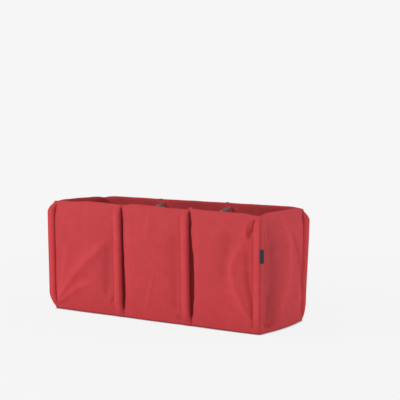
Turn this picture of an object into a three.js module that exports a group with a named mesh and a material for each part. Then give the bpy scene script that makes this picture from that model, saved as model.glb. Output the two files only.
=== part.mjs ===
import * as THREE from 'three';

// A long fabric planter: three open compartments in a row, sewn from red coated canvas
// over needle felt. Upright padded rolls, each with a stiffening rod in its pocket, stand
// at the four corners and where the two dividers meet the front and the back.
// Millimetres, +Z up, the front faces -Y, the origin is under the middle on the floor.

// Overall size, at the rim.
const COMPARTMENTS = ['left', 'middle', 'right'];
const COMPARTMENT_LENGTH = 300;
const DEPTH = 300;
const HEIGHT = 400; // at the corners
const RIM_RISE = 8; // how much higher the rim runs between the corners
const RIM_RISE_RUN = 70; // length over which it climbs from a corner
const RIM_CLIMB_POWER = 2; // a higher power climbs faster at first
const RISE_FADE_POWER = 4; // a higher power keeps the lift nearer the rim

// Cloth.
const CANVAS = 2.5; // outer skin, canvas with its backing
const FELT = 3; // lining
const DIVIDER = 4;
const DIVIDER_DROP = 2; // ends of its top edge below the walls' top
const DIVIDER_SAG = 16; // how far that edge hangs down between its ends
const BASE = 3;
const SEAM = 0.3; // clearance between pieces that are sewn face to face

// Pillowed walls.
const WALL_BULGE = 14;
const WALL_SQUARENESS = 8; // a higher power keeps the wall flatter up to its tucks
const FLOOR_ROUND = 8; // radius on which a wall turns under

// Upright rolls, wide in the middle and drawn in to a seam at the rim and the base.
const CORNER_ROLL = { radius: 16.5, proud: 20 };
const DIVIDER_ROLL = { radius: 14, proud: 17.5 };
const DIVIDER_SEAM_HALF_WIDTH = 11; // where it is pressed flat between two walls
const RIM_BAND = 4; // flat strip below the rim, above the taper
const TOP_TAPER = 32;
const BOTTOM_TAPER = 54;
const TAPER_POWER = 1.6; // 1 draws in along a straight line
const ROUND_POWER = 2; // superellipse power of a full, round roll
const BOXY_POWER = 5; // and of its drawn-in ends

// Stiffening rods, and the pockets in the rolls that hold them.
const ROD_RADIUS = 5;
const ROD_BELOW_WALL_TOP = 20;
const ROD_ABOVE_FLOOR = 38;
const POCKET_MOUTH_WALL = 0.9; // cloth left round a pocket beyond its rod

// Rim hem, folded over the wall's top edge and down its inside as far as the top taper.
const HEM_CLOTH = 1.5;
const HEM_FOLD = 2;

// Woven side label, folded double, caught in the seam of the front right corner roll.
const LABEL_WIDTH = 14;
const LABEL_HEIGHT = 46;
const LABEL_RIBBON = 0.6;
const LABEL_LOOP = 0.9; // outer radius of its fold
const LABEL_BELOW_RIM = 109;
const LABEL_CAUGHT = 2; // how far it lies on the other side of the seam

// Facets.
const WALL_COLUMNS = 10;
const TURN_STEPS = 3; // steps in the quarter turn at a wall's foot
const ROLL_SIDES = 12;
const POCKET_SIDES = 8;
const ROD_SIDES = 16;
const MAT_CORNER_STEPS = 3;
const LABEL_LOOP_STEPS = 4;
const DIVIDER_STEPS = 12;

// Sizes that follow.
const LENGTH = COMPARTMENTS.length * COMPARTMENT_LENGTH;
const WALL_THICKNESS = CANVAS + SEAM + FELT;
const WALL_TOP = HEIGHT - HEM_FOLD - SEAM;
const STEP_ANGLE = Math.PI / 2 / TURN_STEPS;
const ROLL_FOOT = FLOOR_ROUND - (FLOOR_ROUND - CANVAS) * Math.sin(STEP_ANGLE);
const ROD_FOOT = ROD_ABOVE_FLOOR;
const ROD_HEAD = WALL_TOP - ROD_BELOW_WALL_TOP;
const ROD_MIDDLE = (ROD_FOOT + ROD_HEAD) / 2;
const POCKET_RADIUS = (ROD_RADIUS + SEAM) / Math.cos(Math.PI / POCKET_SIDES);
const DIVIDER_CLEARANCE = 2 * DIVIDER_ROLL.radius - DIVIDER_ROLL.proud + SEAM;
const DIVIDER_TOP = WALL_TOP - DIVIDER_DROP;
const FELT_FLOOR_FOOT = BASE + SEAM;

// Heights at which walls, linings and rolls share a ring of corners.
const FULL_FOOT = FLOOR_ROUND + BOTTOM_TAPER;
const BAND_FOOT = WALL_TOP - RIM_BAND;
const FULL_HEAD = BAND_FOOT - TOP_TAPER;
const COURSES = [
  FLOOR_ROUND,
  ROD_FOOT,
  FULL_FOOT,
  THREE.MathUtils.lerp(FULL_FOOT, FULL_HEAD, 0.5),
  FULL_HEAD,
  ROD_HEAD,
  BAND_FOOT,
  WALL_TOP,
];

const canvas = () => new THREE.MeshStandardMaterial({ color: 0xc4444a, roughness: 0.85 });
const felt = () => new THREE.MeshStandardMaterial({ color: 0x8b8781, roughness: 0.95 });
const glassFibre = () => new THREE.MeshStandardMaterial({ color: 0xd9d4c2, roughness: 0.4 });
const ribbon = () => new THREE.MeshStandardMaterial({ color: 0x15151d, roughness: 0.7 });

// Share of its full size that a roll or a wall has at a height: 0 at both ends, 1 between.
function fullness(z) {
  const ramp = (run, taper) => 1 - (1 - THREE.MathUtils.clamp(run / taper, 0, 1)) ** TAPER_POWER;
  return ramp(z - FLOOR_ROUND, BOTTOM_TAPER) * ramp(BAND_FOOT - z, TOP_TAPER);
}

// How far a point of a wall is lifted where the rim runs higher. The lift fades downward.
function lift(z, fromCorner) {
  const climb = 1 - (1 - Math.min(fromCorner / RIM_RISE_RUN, 1)) ** RIM_CLIMB_POWER;
  return RIM_RISE * climb * (z / WALL_TOP) ** RISE_FADE_POWER;
}

// How far the outer face has turned inward at a height on the rounded foot.
function footInset(z) {
  const below = Math.max(FLOOR_ROUND - z, 0);
  return FLOOR_ROUND - Math.sqrt(FLOOR_ROUND ** 2 - below ** 2);
}

// Horizontal section of a roll: half sizes along and across the wall, and how deep its
// middle lies behind the rim plane. The section is round in the middle, boxy at the ends.
function rollSection(roll, endHalfWidth, z) {
  const full = fullness(z);
  const halfWidth = THREE.MathUtils.lerp(endHalfWidth, roll.radius, full);
  const halfDepth = THREE.MathUtils.lerp(WALL_THICKNESS / 2, roll.radius, full);
  const depth = halfDepth + footInset(z) - roll.proud * full;
  return { halfWidth, halfDepth, depth, power: THREE.MathUtils.lerp(BOXY_POWER, ROUND_POWER, full) };
}

const cornerSection = (z) => rollSection(CORNER_ROLL, WALL_THICKNESS / 2, z);
const dividerSection = (z) => rollSection(DIVIDER_ROLL, DIVIDER_SEAM_HALF_WIDTH, z);

// What a wall ends against: how far the neighbour reaches along the wall, and how far
// the wall's face stands proud of the rim plane in the tuck beside it.
const cornerEdge = {
  reach: (z, depth) => {
    const { halfWidth, depth: middle } = cornerSection(z);
    return Math.max(z < ROLL_FOOT ? 0 : middle + halfWidth, depth);
  },
  proud: (z) => (CORNER_ROLL.proud - CORNER_ROLL.radius + CANVAS / 2) * fullness(z),
  foldGap: (depth) => depth + SEAM,
};
const dividerEdge = {
  reach: (z) => (z < ROLL_FOOT ? 0 : dividerSection(z).halfWidth),
  proud: (z) => (DIVIDER_ROLL.proud - DIVIDER_ROLL.radius + CANVAS / 2) * fullness(z),
  foldGap: () => SEAM / 2,
};

// One wall between two tucks, in the frame of its own side: x along the wall, -y outward.
class Bay {
  constructor(span, start, end, startEdge, endEdge) {
    Object.assign(this, { span, start, end, startEdge, endEdge });
  }

  // Share across the wall, -1 to 1, with the columns closer together beside the tucks.
  share(column) {
    return Math.sin((Math.PI / 2) * ((2 * column) / WALL_COLUMNS - 1));
  }

  // Outward stand of the canvas's outer face.
  proud(share, z) {
    const tuck = THREE.MathUtils.lerp(this.startEdge.proud(z), this.endEdge.proud(z), (share + 1) / 2);
    const pillow = (1 - Math.abs(share) ** WALL_SQUARENESS) * fullness(z);
    return tuck + Math.max(WALL_BULGE - tuck, 0) * pillow;
  }

  // A point at a column and height, that deep behind the rim plane. reachHeight is the
  // height at which the neighbours' reach is taken.
  point(column, z, depth, reachHeight = z) {
    const from = this.start + this.startEdge.reach(reachHeight, depth) + SEAM;
    const to = this.end - this.endEdge.reach(reachHeight, depth) - SEAM;
    return this.lifted(THREE.MathUtils.lerp(from, to, (this.share(column) + 1) / 2), depth, z);
  }

  lifted(x, depth, z) {
    return [x, depth, z + lift(z, this.span / 2 - Math.abs(x))];
  }

  // The point on a cloth face that lies behind the canvas's outer face.
  behind(column, z, offset) {
    return this.point(column, z, offset - this.proud(this.share(column), z));
  }

  // A point on the outer or inner face of the turned-under foot. Its first step still
  // ends against the rolls, and below them a wall meets its neighbour.
  foot(column, step, radius) {
    const angle = step * STEP_ANGLE;
    const z = FLOOR_ROUND - radius * Math.sin(angle);
    const depth = FLOOR_ROUND - radius * Math.cos(angle);
    return this.point(column, z, depth, step > 1 ? 0 : ROLL_FOOT);
  }

  // A point of the fold over the top edge, which runs on over the rolls to its neighbour.
  fold(column, depth, above) {
    let [x] = this.point(column, WALL_TOP, 0);
    if (column === 0) x = this.start + this.startEdge.foldGap(depth);
    if (column === WALL_COLUMNS) x = this.end - this.endEdge.foldGap(depth);
    const [, , z] = this.lifted(x, depth, WALL_TOP);
    return [x, depth, z + above];
  }
}

// The skin of facets through rings of corners, each ring closed on itself. Where a ring
// rises its facets are split the other way, so cloth laid on cloth shares its creases.
function loft(rings) {
  const count = rings[0].length;
  const last = (rings.length - 1) * count;
  const indices = [];
  for (let ring = 0; ring < last; ring += count) {
    for (let corner = 0; corner < count; corner++) {
      const next = (corner + 1) % count;
      const [a, b, c, d] = [ring + corner, ring + next, ring + count + next, ring + count + corner];
      const rises = rings[0][next][2] > rings[0][corner][2];
      indices.push(...(rises ? [a, b, d, b, c, d] : [a, b, c, a, c, d]));
    }
  }
  return { positions: rings.flat(2), indices, count, last };
}

function geometry(positions, indices) {
  const made = new THREE.BufferGeometry();
  made.setAttribute('position', new THREE.Float32BufferAttribute(positions, 3));
  made.setIndex(indices);
  made.computeVertexNormals();
  return made;
}

// A sheet of cloth: each column is a ring down the outer face and back up the inner one,
// so its two ends are strips of facets between the faces.
function sheet(columns) {
  const { positions, indices, count, last } = loft(columns);
  for (let corner = 0; corner < count / 2 - 1; corner++) {
    const [a, b, c, d] = [corner, corner + 1, count - 2 - corner, count - 1 - corner];
    indices.push(a, c, b, a, d, c);
    indices.push(last + a, last + b, last + c, last + a, last + c, last + d);
  }
  return geometry(positions, indices);
}

function columnsOf(makeColumn) {
  return Array.from({ length: WALL_COLUMNS + 1 }, (_, column) => makeColumn(column));
}

// The canvas skin of a bay, down to its turned-under foot.
function skin(bay) {
  const steps = Array.from({ length: TURN_STEPS }, (_, step) => step + 1);
  return sheet(columnsOf((column) => {
    const outer = COURSES.map((z) => bay.behind(column, z, 0)).reverse();
    const inner = COURSES.map((z) => bay.behind(column, z, CANVAS));
    const outerFoot = steps.map((step) => bay.foot(column, step, FLOOR_ROUND));
    const innerFoot = steps.map((step) => bay.foot(column, step, FLOOR_ROUND - CANVAS)).reverse();
    return [...outer, ...outerFoot, ...innerFoot, ...inner];
  }));
}

// The felt lining behind a bay's canvas.
function lining(bay) {
  return sheet(columnsOf((column) => {
    const outer = COURSES.map((z) => bay.behind(column, z, CANVAS + SEAM)).reverse();
    const inner = COURSES.map((z) => bay.behind(column, z, WALL_THICKNESS));
    return [...outer, ...inner];
  }));
}

// The hem of a bay: a fold over the top edge, and a leaf down the inside of the lining.
function hem(bay) {
  const leafOuter = WALL_THICKNESS + SEAM;
  const leafInner = leafOuter + HEM_CLOTH;
  const leaf = [FULL_HEAD, ROD_HEAD, BAND_FOOT, WALL_TOP];
  return sheet(columnsOf((column) => {
    const inside = leaf.map((z) => bay.behind(column, z, leafInner));
    const outside = leaf.map((z) => bay.behind(column, z, leafOuter)).reverse();
    const over = [leafInner, 0].map((depth) => bay.fold(column, depth, SEAM + HEM_FOLD));
    const under = [0, leafOuter].map((depth) => bay.fold(column, depth, SEAM));
    return [...inside, ...over, ...under, ...outside];
  }));
}

// Corners of a roll's section or its pocket, going round a middle.
function sectionRing(sides, halfWidth, halfDepth, power, middle, z) {
  return Array.from({ length: sides }, (_, side) => {
    const angle = (2 * Math.PI * side) / sides;
    const round = (value) => Math.sign(value) * Math.abs(value) ** (2 / power);
    const across = halfWidth * round(Math.cos(angle));
    const along = halfDepth * round(Math.sin(angle));
    return [middle[0] + across, middle[1] + along, z];
  });
}

// A roll: a lofted tube, open at both ends, whose pocket is round where the rod stands.
function roll(section, middleAt, fromCorner) {
  const heights = [ROLL_FOOT, ...COURSES];
  const outer = heights.map((z) => {
    const { halfWidth, halfDepth, depth, power } = section(z);
    return sectionRing(ROLL_SIDES, halfWidth, halfDepth, power, middleAt(depth), z + lift(z, fromCorner));
  });
  const inner = heights.map((z) => {
    const { halfWidth, halfDepth, depth } = section(z);
    const holdsRod = z >= ROD_FOOT && z <= ROD_HEAD;
    const along = holdsRod ? POCKET_RADIUS : halfWidth - POCKET_MOUTH_WALL;
    const across = holdsRod ? POCKET_RADIUS : halfDepth - POCKET_MOUTH_WALL;
    const middle = holdsRod ? middleAt(rodDepth(section)) : middleAt(depth);
    return sectionRing(POCKET_SIDES, along, across, ROUND_POWER, middle, z + lift(z, fromCorner));
  });
  const shell = loft(outer);
  const pocket = loft(inner);
  const shift = shell.positions.length / 3;
  const facingIn = pocket.indices.map((index) => index + shift).reverse();
  const ends = [...endRing(0, shift, true), ...endRing(shell.last, shift + pocket.last, false)];
  const indices = [...shell.indices, ...facingIn, ...ends];
  return geometry([...shell.positions, ...pocket.positions], indices);
}

// Facets between a roll's outer ring and its pocket's ring at one end.
function endRing(outerStart, innerStart, faceDown) {
  const indices = [];
  const add = (a, b, c) => indices.push(...(faceDown ? [a, c, b] : [a, b, c]));
  let [outer, inner] = [0, 0];
  while (outer < ROLL_SIDES || inner < POCKET_SIDES) {
    const a = outerStart + (outer % ROLL_SIDES);
    const b = innerStart + (inner % POCKET_SIDES);
    if ((outer + 1) / ROLL_SIDES <= (inner + 1) / POCKET_SIDES) {
      add(a, outerStart + ((outer + 1) % ROLL_SIDES), b);
      outer++;
    } else {
      add(a, innerStart + ((inner + 1) % POCKET_SIDES), b);
      inner++;
    }
  }
  return indices;
}

// The rod stands upright, in the middle of its roll where the roll is full.
const rodDepth = (section) => section(FULL_FOOT).depth;

function rod() {
  const made = new THREE.CylinderGeometry(ROD_RADIUS, ROD_RADIUS, ROD_HEAD - ROD_FOOT, ROD_SIDES);
  return made.rotateX(Math.PI / 2);
}

// A flat sheet with rounded corners, its underside at z = 0.
function mat(length, depth, thickness, corner) {
  const [x, y] = [length / 2, depth / 2];
  const outline = new THREE.Shape();
  outline.absarc(x - corner, y - corner, corner, 0, Math.PI / 2);
  outline.absarc(-x + corner, y - corner, corner, Math.PI / 2, Math.PI);
  outline.absarc(-x + corner, -y + corner, corner, Math.PI, Math.PI * 1.5);
  outline.absarc(x - corner, -y + corner, corner, Math.PI * 1.5, Math.PI * 2);
  outline.closePath();
  const extent = { depth: thickness, bevelEnabled: false, curveSegments: MAT_CORNER_STEPS };
  return new THREE.ExtrudeGeometry(outline, extent);
}

// A divider: an upright sheet across the planter whose top edge hangs between its ends.
function hangingSheet(depth, foot, top) {
  const half = depth / 2;
  const outline = new THREE.Shape();
  outline.moveTo(-half, foot);
  outline.lineTo(half, foot);
  outline.lineTo(half, top);
  outline.quadraticCurveTo(0, top - 2 * DIVIDER_SAG, -half, top);
  outline.closePath();
  const extent = { depth: DIVIDER, bevelEnabled: false, curveSegments: DIVIDER_STEPS };
  const made = new THREE.ExtrudeGeometry(outline, extent);
  return made.translate(0, 0, -DIVIDER / 2).rotateX(Math.PI / 2).rotateZ(Math.PI / 2);
}

// The label's ribbon, folded double: two leaves and the loop that joins them, standing up.
function foldedRibbon() {
  const loop = LABEL_LOOP;
  const outline = new THREE.Shape();
  outline.moveTo(0, -loop);
  outline.lineTo(LABEL_WIDTH - loop, -loop);
  outline.absarc(LABEL_WIDTH - loop, 0, loop, -Math.PI / 2, Math.PI / 2);
  outline.lineTo(0, loop);
  outline.lineTo(0, loop - LABEL_RIBBON);
  outline.lineTo(LABEL_WIDTH - loop, loop - LABEL_RIBBON);
  outline.absarc(LABEL_WIDTH - loop, 0, loop - LABEL_RIBBON, Math.PI / 2, -Math.PI / 2, true);
  outline.lineTo(0, LABEL_RIBBON - loop);
  outline.closePath();
  const extent = { depth: LABEL_HEIGHT, bevelEnabled: false, curveSegments: LABEL_LOOP_STEPS };
  const made = new THREE.ExtrudeGeometry(outline, extent);
  return made.translate(0, -loop, 0);
}

const planter = new THREE.Group();

function add(parent, name, shape, material, x = 0, y = 0, z = 0, turn = 0) {
  const mesh = new THREE.Mesh(shape, material);
  mesh.name = name;
  mesh.position.set(x, y, z);
  mesh.rotation.z = turn;
  parent.add(mesh);
}

// The four sides. Each is a group whose own -Y looks outward, with its rim plane at y = 0.
const SIDES = [
  { name: 'front', turn: 0, span: LENGTH, distance: DEPTH / 2, bays: COMPARTMENTS },
  { name: 'right_end', turn: Math.PI / 2, span: DEPTH, distance: LENGTH / 2, bays: [''] },
  { name: 'back', turn: Math.PI, span: LENGTH, distance: DEPTH / 2, bays: [...COMPARTMENTS].reverse() },
  { name: 'left_end', turn: -Math.PI / 2, span: DEPTH, distance: LENGTH / 2, bays: [''] },
];

for (const { name, turn, span, distance, bays } of SIDES) {
  const side = new THREE.Group();
  side.rotation.z = turn;
  side.position.set(distance * Math.sin(turn), -distance * Math.cos(turn), 0);
  planter.add(side);
  const bayLength = span / bays.length;
  bays.forEach((bayName, index) => {
    const start = -span / 2 + index * bayLength;
    const startEdge = index === 0 ? cornerEdge : dividerEdge;
    const endEdge = index === bays.length - 1 ? cornerEdge : dividerEdge;
    const bay = new Bay(span, start, start + bayLength, startEdge, endEdge);
    const suffix = bayName ? `_${bayName}` : '';
    add(side, `${name}_skin${suffix}`, skin(bay), canvas());
    add(side, `${name}_lining${suffix}`, lining(bay), felt());
    add(side, `${name}_rim_hem${suffix}`, hem(bay), canvas());
    if (index > 0) {
      const seam = `${name}_divider_${name === 'front' ? index : bays.length - index}`;
      const middleAt = (depth) => [start, depth];
      add(side, `${seam}_roll`, roll(dividerSection, middleAt, span / 2 - Math.abs(start)), canvas());
      add(side, `${seam}_rod`, rod(), glassFibre(), start, rodDepth(dividerSection), ROD_MIDDLE);
    }
  });
}

// Corner rolls: the same lofted roll, set in from both rim planes by the same depth.
for (const [depthName, depthSign] of [['front', -1], ['back', 1]]) {
  for (const [sideName, sideSign] of [['left', -1], ['right', 1]]) {
    const name = `${depthName}_${sideName}_corner`;
    const middleAt = (depth) => [sideSign * (LENGTH / 2 - depth), depthSign * (DEPTH / 2 - depth)];
    const [x, y] = middleAt(rodDepth(cornerSection));
    add(planter, `${name}_roll`, roll(cornerSection, middleAt, 0), canvas());
    add(planter, `${name}_rod`, rod(), glassFibre(), x, y, ROD_MIDDLE);
  }
}

// The floor: an outer base inside the turned-under feet, and a felt floor on top of it.
const baseInset = FLOOR_ROUND + SEAM;
add(planter, 'base', mat(LENGTH - 2 * baseInset, DEPTH - 2 * baseInset, BASE, FLOOR_ROUND), canvas());
const feltInset = FLOOR_ROUND - (FLOOR_ROUND - WALL_THICKNESS) / 2;
const feltFloor = mat(LENGTH - 2 * feltInset, DEPTH - 2 * feltInset, FELT, FLOOR_ROUND);
add(planter, 'felt_floor', feltFloor, felt(), 0, 0, FELT_FLOOR_FOOT);

// Dividers between the compartments, from roll to roll and down to the felt floor.
const dividerFoot = FELT_FLOOR_FOOT + FELT + SEAM;
for (let index = 1; index < COMPARTMENTS.length; index++) {
  const shape = hangingSheet(DEPTH - 2 * DIVIDER_CLEARANCE, dividerFoot, DIVIDER_TOP);
  add(planter, `divider_${index}`, shape, felt(), -LENGTH / 2 + index * COMPARTMENT_LENGTH);
}

// The label lies flat on the facet of the front right roll that looks out of the corner.
const facet = CORNER_ROLL.radius * Math.cos(Math.PI / ROLL_SIDES) + SEAM;
const cornerDepth = rodDepth(cornerSection);
const labelX = LENGTH / 2 - cornerDepth + (facet - LABEL_CAUGHT) * Math.SQRT1_2;
const labelY = -(DEPTH / 2 - cornerDepth + (facet + LABEL_CAUGHT) * Math.SQRT1_2);
const labelZ = HEIGHT - LABEL_BELOW_RIM - LABEL_HEIGHT;
add(planter, 'side_label', foldedRibbon(), ribbon(), labelX, labelY, labelZ, Math.PI / 4);

export default planter;
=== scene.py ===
"""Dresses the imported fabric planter: canvas walls with rod tucks, felt inside, label, studio and camera."""

import logging
import math
from dataclasses import dataclass, field
from enum import Enum
from functools import partial
from typing import Callable, ClassVar, Iterator

import bmesh
import bpy
from mathutils import Matrix, Vector, noise


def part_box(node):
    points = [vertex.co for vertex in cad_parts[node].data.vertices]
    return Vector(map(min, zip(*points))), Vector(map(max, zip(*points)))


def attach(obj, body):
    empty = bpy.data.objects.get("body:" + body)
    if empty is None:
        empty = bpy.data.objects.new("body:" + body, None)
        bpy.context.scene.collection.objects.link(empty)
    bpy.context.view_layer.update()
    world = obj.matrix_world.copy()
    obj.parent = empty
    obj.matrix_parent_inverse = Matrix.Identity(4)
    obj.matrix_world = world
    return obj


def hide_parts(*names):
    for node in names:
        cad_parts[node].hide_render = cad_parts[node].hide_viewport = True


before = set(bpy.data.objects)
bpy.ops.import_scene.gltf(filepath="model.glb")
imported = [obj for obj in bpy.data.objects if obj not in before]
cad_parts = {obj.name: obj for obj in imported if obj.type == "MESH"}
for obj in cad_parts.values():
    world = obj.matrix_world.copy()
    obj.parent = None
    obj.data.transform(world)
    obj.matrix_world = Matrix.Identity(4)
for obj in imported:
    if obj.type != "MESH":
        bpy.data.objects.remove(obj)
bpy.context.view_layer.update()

logging.basicConfig(level=logging.INFO, format="%(message)s")
log = logging.getLogger("planter")

MM = 0.001  # shapes are worked out in millimetres and made in metres
SLANT = math.sqrt(0.5)  # how far a step of 1 at 45 degrees goes along either axis

Pairs = tuple[tuple[float, float], ...]


# Small sums


def lerp(a: float, b: float, t: float) -> float:
    """The value a share t of the way from a to b."""
    return a + (b - a) * t


def clamp(value: float, low: float = 0.0, high: float = 1.0) -> float:
    """The value, kept between low and high."""
    return max(low, min(high, value))


def ease(t: float) -> float:
    """A smooth step from 0 to 1."""
    t = clamp(t)
    return t * t * (3 - 2 * t)


def between(value: float, low: float, high: float) -> float:
    """A smooth step from 0 at low to 1 at high."""
    return ease((value - low) / (high - low))


def eased(stops: Pairs, place: float) -> float:
    """The value at a place, eased from stop to stop.

    Args:
        stops: Places in rising order, each with the value there.
        place: Where the value is wanted.

    Returns:
        The value, which beyond the last stop stays as it is there.
    """
    if place <= stops[0][0]:
        return stops[0][1]
    for (near, first), (far, last) in zip(stops, stops[1:]):
        if place <= far:
            return lerp(first, last, between(place, near, far))
    return stops[-1][1]


def bell(distance: float, width: float) -> float:
    """A soft bump: 1 at no distance, and near 0 from two widths on."""
    return math.exp(-((distance / width) ** 2))


def uneven(along: float, up: float, seed: float) -> float:
    """Slow noise from -1 to 1, with a hill or hollow about every unit along and up."""
    return noise.noise(Vector((along, up, seed)))


# Finishes

# Of a Map Range node, i1 to i4 are the limits that it maps from and to.
# Of a Mix node, i0 is the factor and i6 and i7 are the two colours.

ONE_WAVE = 2 * math.pi / 20  # scale at which a wave texture has one wave in each metre
COLOURS = {"data_type": "RGBA"}

Inputs = dict[str, bpy.types.NodeSocket | tuple[float, float, float, float]]


def linear(hex_colour: str) -> tuple[float, float, float, float]:
    """Turns an sRGB hex colour into linear RGBA.

    Args:
        hex_colour: Six hex digits after a hash sign.

    Returns:
        Linear red, green, blue and an alpha of 1.
    """
    channels = (int(hex_colour[i : i + 2], 16) / 255 for i in (1, 3, 5))
    red, green, blue = (c / 12.92 if c <= 0.04045 else ((c + 0.055) / 1.055) ** 2.4 for c in channels)
    return red, green, blue, 1.0


def empty_tree(owner: bpy.types.Material | bpy.types.World) -> bpy.types.NodeTree:
    """The node tree of a material or world, with nothing in it."""
    owner.use_nodes = True
    owner.node_tree.nodes.clear()
    return owner.node_tree


def add_node(
    tree: bpy.types.NodeTree, kind: str, settings: dict | None = None, **links: object
) -> bpy.types.Node:
    """Adds a node to a tree.

    Args:
        tree: The node tree.
        kind: The node's type name.
        settings: The node's own properties.
        **links: Input name, with _ for a space, or i and a number for its place: a socket or a value.

    Returns:
        The new node.
    """
    node = tree.nodes.new(kind)
    for name, value in (settings or {}).items():
        setattr(node, name, value)
    for name, value in links.items():
        key = int(name[1:]) if name[0] == "i" and name[1:].isdigit() else name.replace("_", " ")
        if isinstance(value, bpy.types.NodeSocket):
            tree.links.new(value, node.inputs[key])
        else:
            node.inputs[key].default_value = value
    return node


@dataclass(frozen=True)
class Finish:
    """A finish of the planter. Each kind fills in how its colour and relief are made."""

    name: str
    surface: ClassVar[dict[str, float]] = {}  # the shader's plain inputs

    def material(self) -> bpy.types.Material:
        """The finish's material, made the first time it is asked for."""
        made = bpy.data.materials.get(self.name)
        if made is None:
            made = bpy.data.materials.new(self.name)
            tree = empty_tree(made)
            shader = add_node(tree, "ShaderNodeBsdfPrincipled", **self.surface, **self.dress(tree))
            add_node(tree, "ShaderNodeOutputMaterial", Surface=shader.outputs[0])
        return made

    def dress(self, tree: bpy.types.NodeTree) -> Inputs:
        """The shader's colour, relief and other inputs that are made in nodes."""
        raise NotImplementedError


@dataclass(frozen=True)
class CoatedCanvas(Finish):
    """Woven polyester canvas with a thin matt coating: even red, a fine grid of threads, dull sheen."""

    colour: str = "#c44146"
    worn: str = "#cf5057"
    # deep: colour of the painted shade deep in the tucks' slits
    deep: str = "#3a0a0e"
    sheen: str = "#e8585f"
    thread: float = 2.4  # mm a thread pair, drawn twice as coarse as the real 1.2 mm so that it shows
    relief: float = 0.00022  # metres by which the threads stand out
    mottle: float = 26.0  # scale of the patches where the coating is worn
    most_worn: float = 0.3  # how far the most worn patch goes to the worn colour
    speck: float = 420.0  # scale of the coating's grain
    speck_relief: float = 0.0006  # metres by which the grain stands out
    painted_amount: float = 1.5  # the attribute value at which the painted light or shade is at its full
    painted_light_strength: float = 0.39  # how much lighter the painted light makes the cloth at its full, and how much darker the painted shade
    painted_shade_strength: float = 0.68  # how far the painted shade deep in a tuck goes to the painted shade colour
    surface: ClassVar[dict[str, float]] = {
        "Roughness": 0.72,
        "IOR": 1.47,
        "Specular IOR Level": 0.12,
        "Sheen Weight": 0.3,
        "Sheen Roughness": 0.45,
    }

    def dress(self, tree: bpy.types.NodeTree) -> Inputs:
        """Colour from mottling, painted light and shade on the folds and painted shade deep in the tucks,
        relief from two crossed waves.
        """
        add = partial(add_node, tree)
        spot = add("ShaderNodeTexCoord").outputs["Object"]
        cloth = add("ShaderNodeUVMap", {"uv_map": "cloth"}).outputs[0]
        waves = [
            add(
                "ShaderNodeTexWave",
                {"wave_type": "BANDS", "bands_direction": axis, "wave_profile": "SIN"},
                Vector=cloth,
                Scale=ONE_WAVE / (self.thread * MM),
                Distortion=0.6,
                Detail=1.0,
            ).outputs["Fac"]
            for axis in ("X", "Y")
        ]
        weave = add("ShaderNodeMath", {"operation": "MAXIMUM"}, i0=waves[0], i1=waves[1]).outputs[0]
        mottle = add("ShaderNodeTexNoise", Vector=spot, Scale=self.mottle, Detail=4.0, Roughness=0.6)
        speck = add("ShaderNodeTexNoise", Vector=spot, Scale=self.speck, Detail=2.0, Roughness=0.7)
        tone = add(
            "ShaderNodeMapRange", Value=mottle.outputs["Fac"], i1=0.35, i2=0.7, i3=0.0, i4=self.most_worn
        )
        faded = add(
            "ShaderNodeMix", COLOURS, i0=tone.outputs[0], i6=linear(self.colour), i7=linear(self.worn)
        )
        grain = add("ShaderNodeMapRange", Value=speck.outputs["Fac"], i1=0.3, i2=0.7, i3=0.94, i4=1.04)
        # the painted light on ridges and tube faces, and painted shade in hollows and under the foot
        worn = add("ShaderNodeAttribute", {"attribute_name": "wear"})
        wear = add(
            "ShaderNodeMapRange",
            Value=worn.outputs["Fac"],
            i1=-self.painted_amount,
            i2=self.painted_amount,
            i3=1 - self.painted_light_strength,
            i4=1 + self.painted_light_strength,
        )
        shade = add("ShaderNodeMath", {"operation": "MULTIPLY"}, i0=grain.outputs[0], i1=wear.outputs[0])
        tinted = add(
            "ShaderNodeMix",
            COLOURS | {"blend_type": "MULTIPLY"},
            i0=1.0,
            i6=faded.outputs[2],
            i7=shade.outputs[0],
        )
        # painted shade deep in the tucks' slits
        hollow = add("ShaderNodeAttribute", {"attribute_name": "tuck_depth"})
        painted_shade_mix = add("ShaderNodeMath", {"operation": "MULTIPLY"}, i0=hollow.outputs["Fac"], i1=self.painted_shade_strength)
        colour = add(
            "ShaderNodeMix", COLOURS, i0=painted_shade_mix.outputs[0], i6=tinted.outputs[2], i7=linear(self.deep)
        )
        threads = add("ShaderNodeBump", Height=weave, Distance=self.relief, Strength=0.55)
        coating = add(
            "ShaderNodeBump",
            Height=speck.outputs["Fac"],
            Distance=self.speck_relief,
            Strength=0.25,
            Normal=threads.outputs[0],
        )
        return {
            "Base Color": colour.outputs[2],
            "Normal": coating.outputs[0],
            "Sheen Tint": linear(self.sheen),
        }


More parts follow.
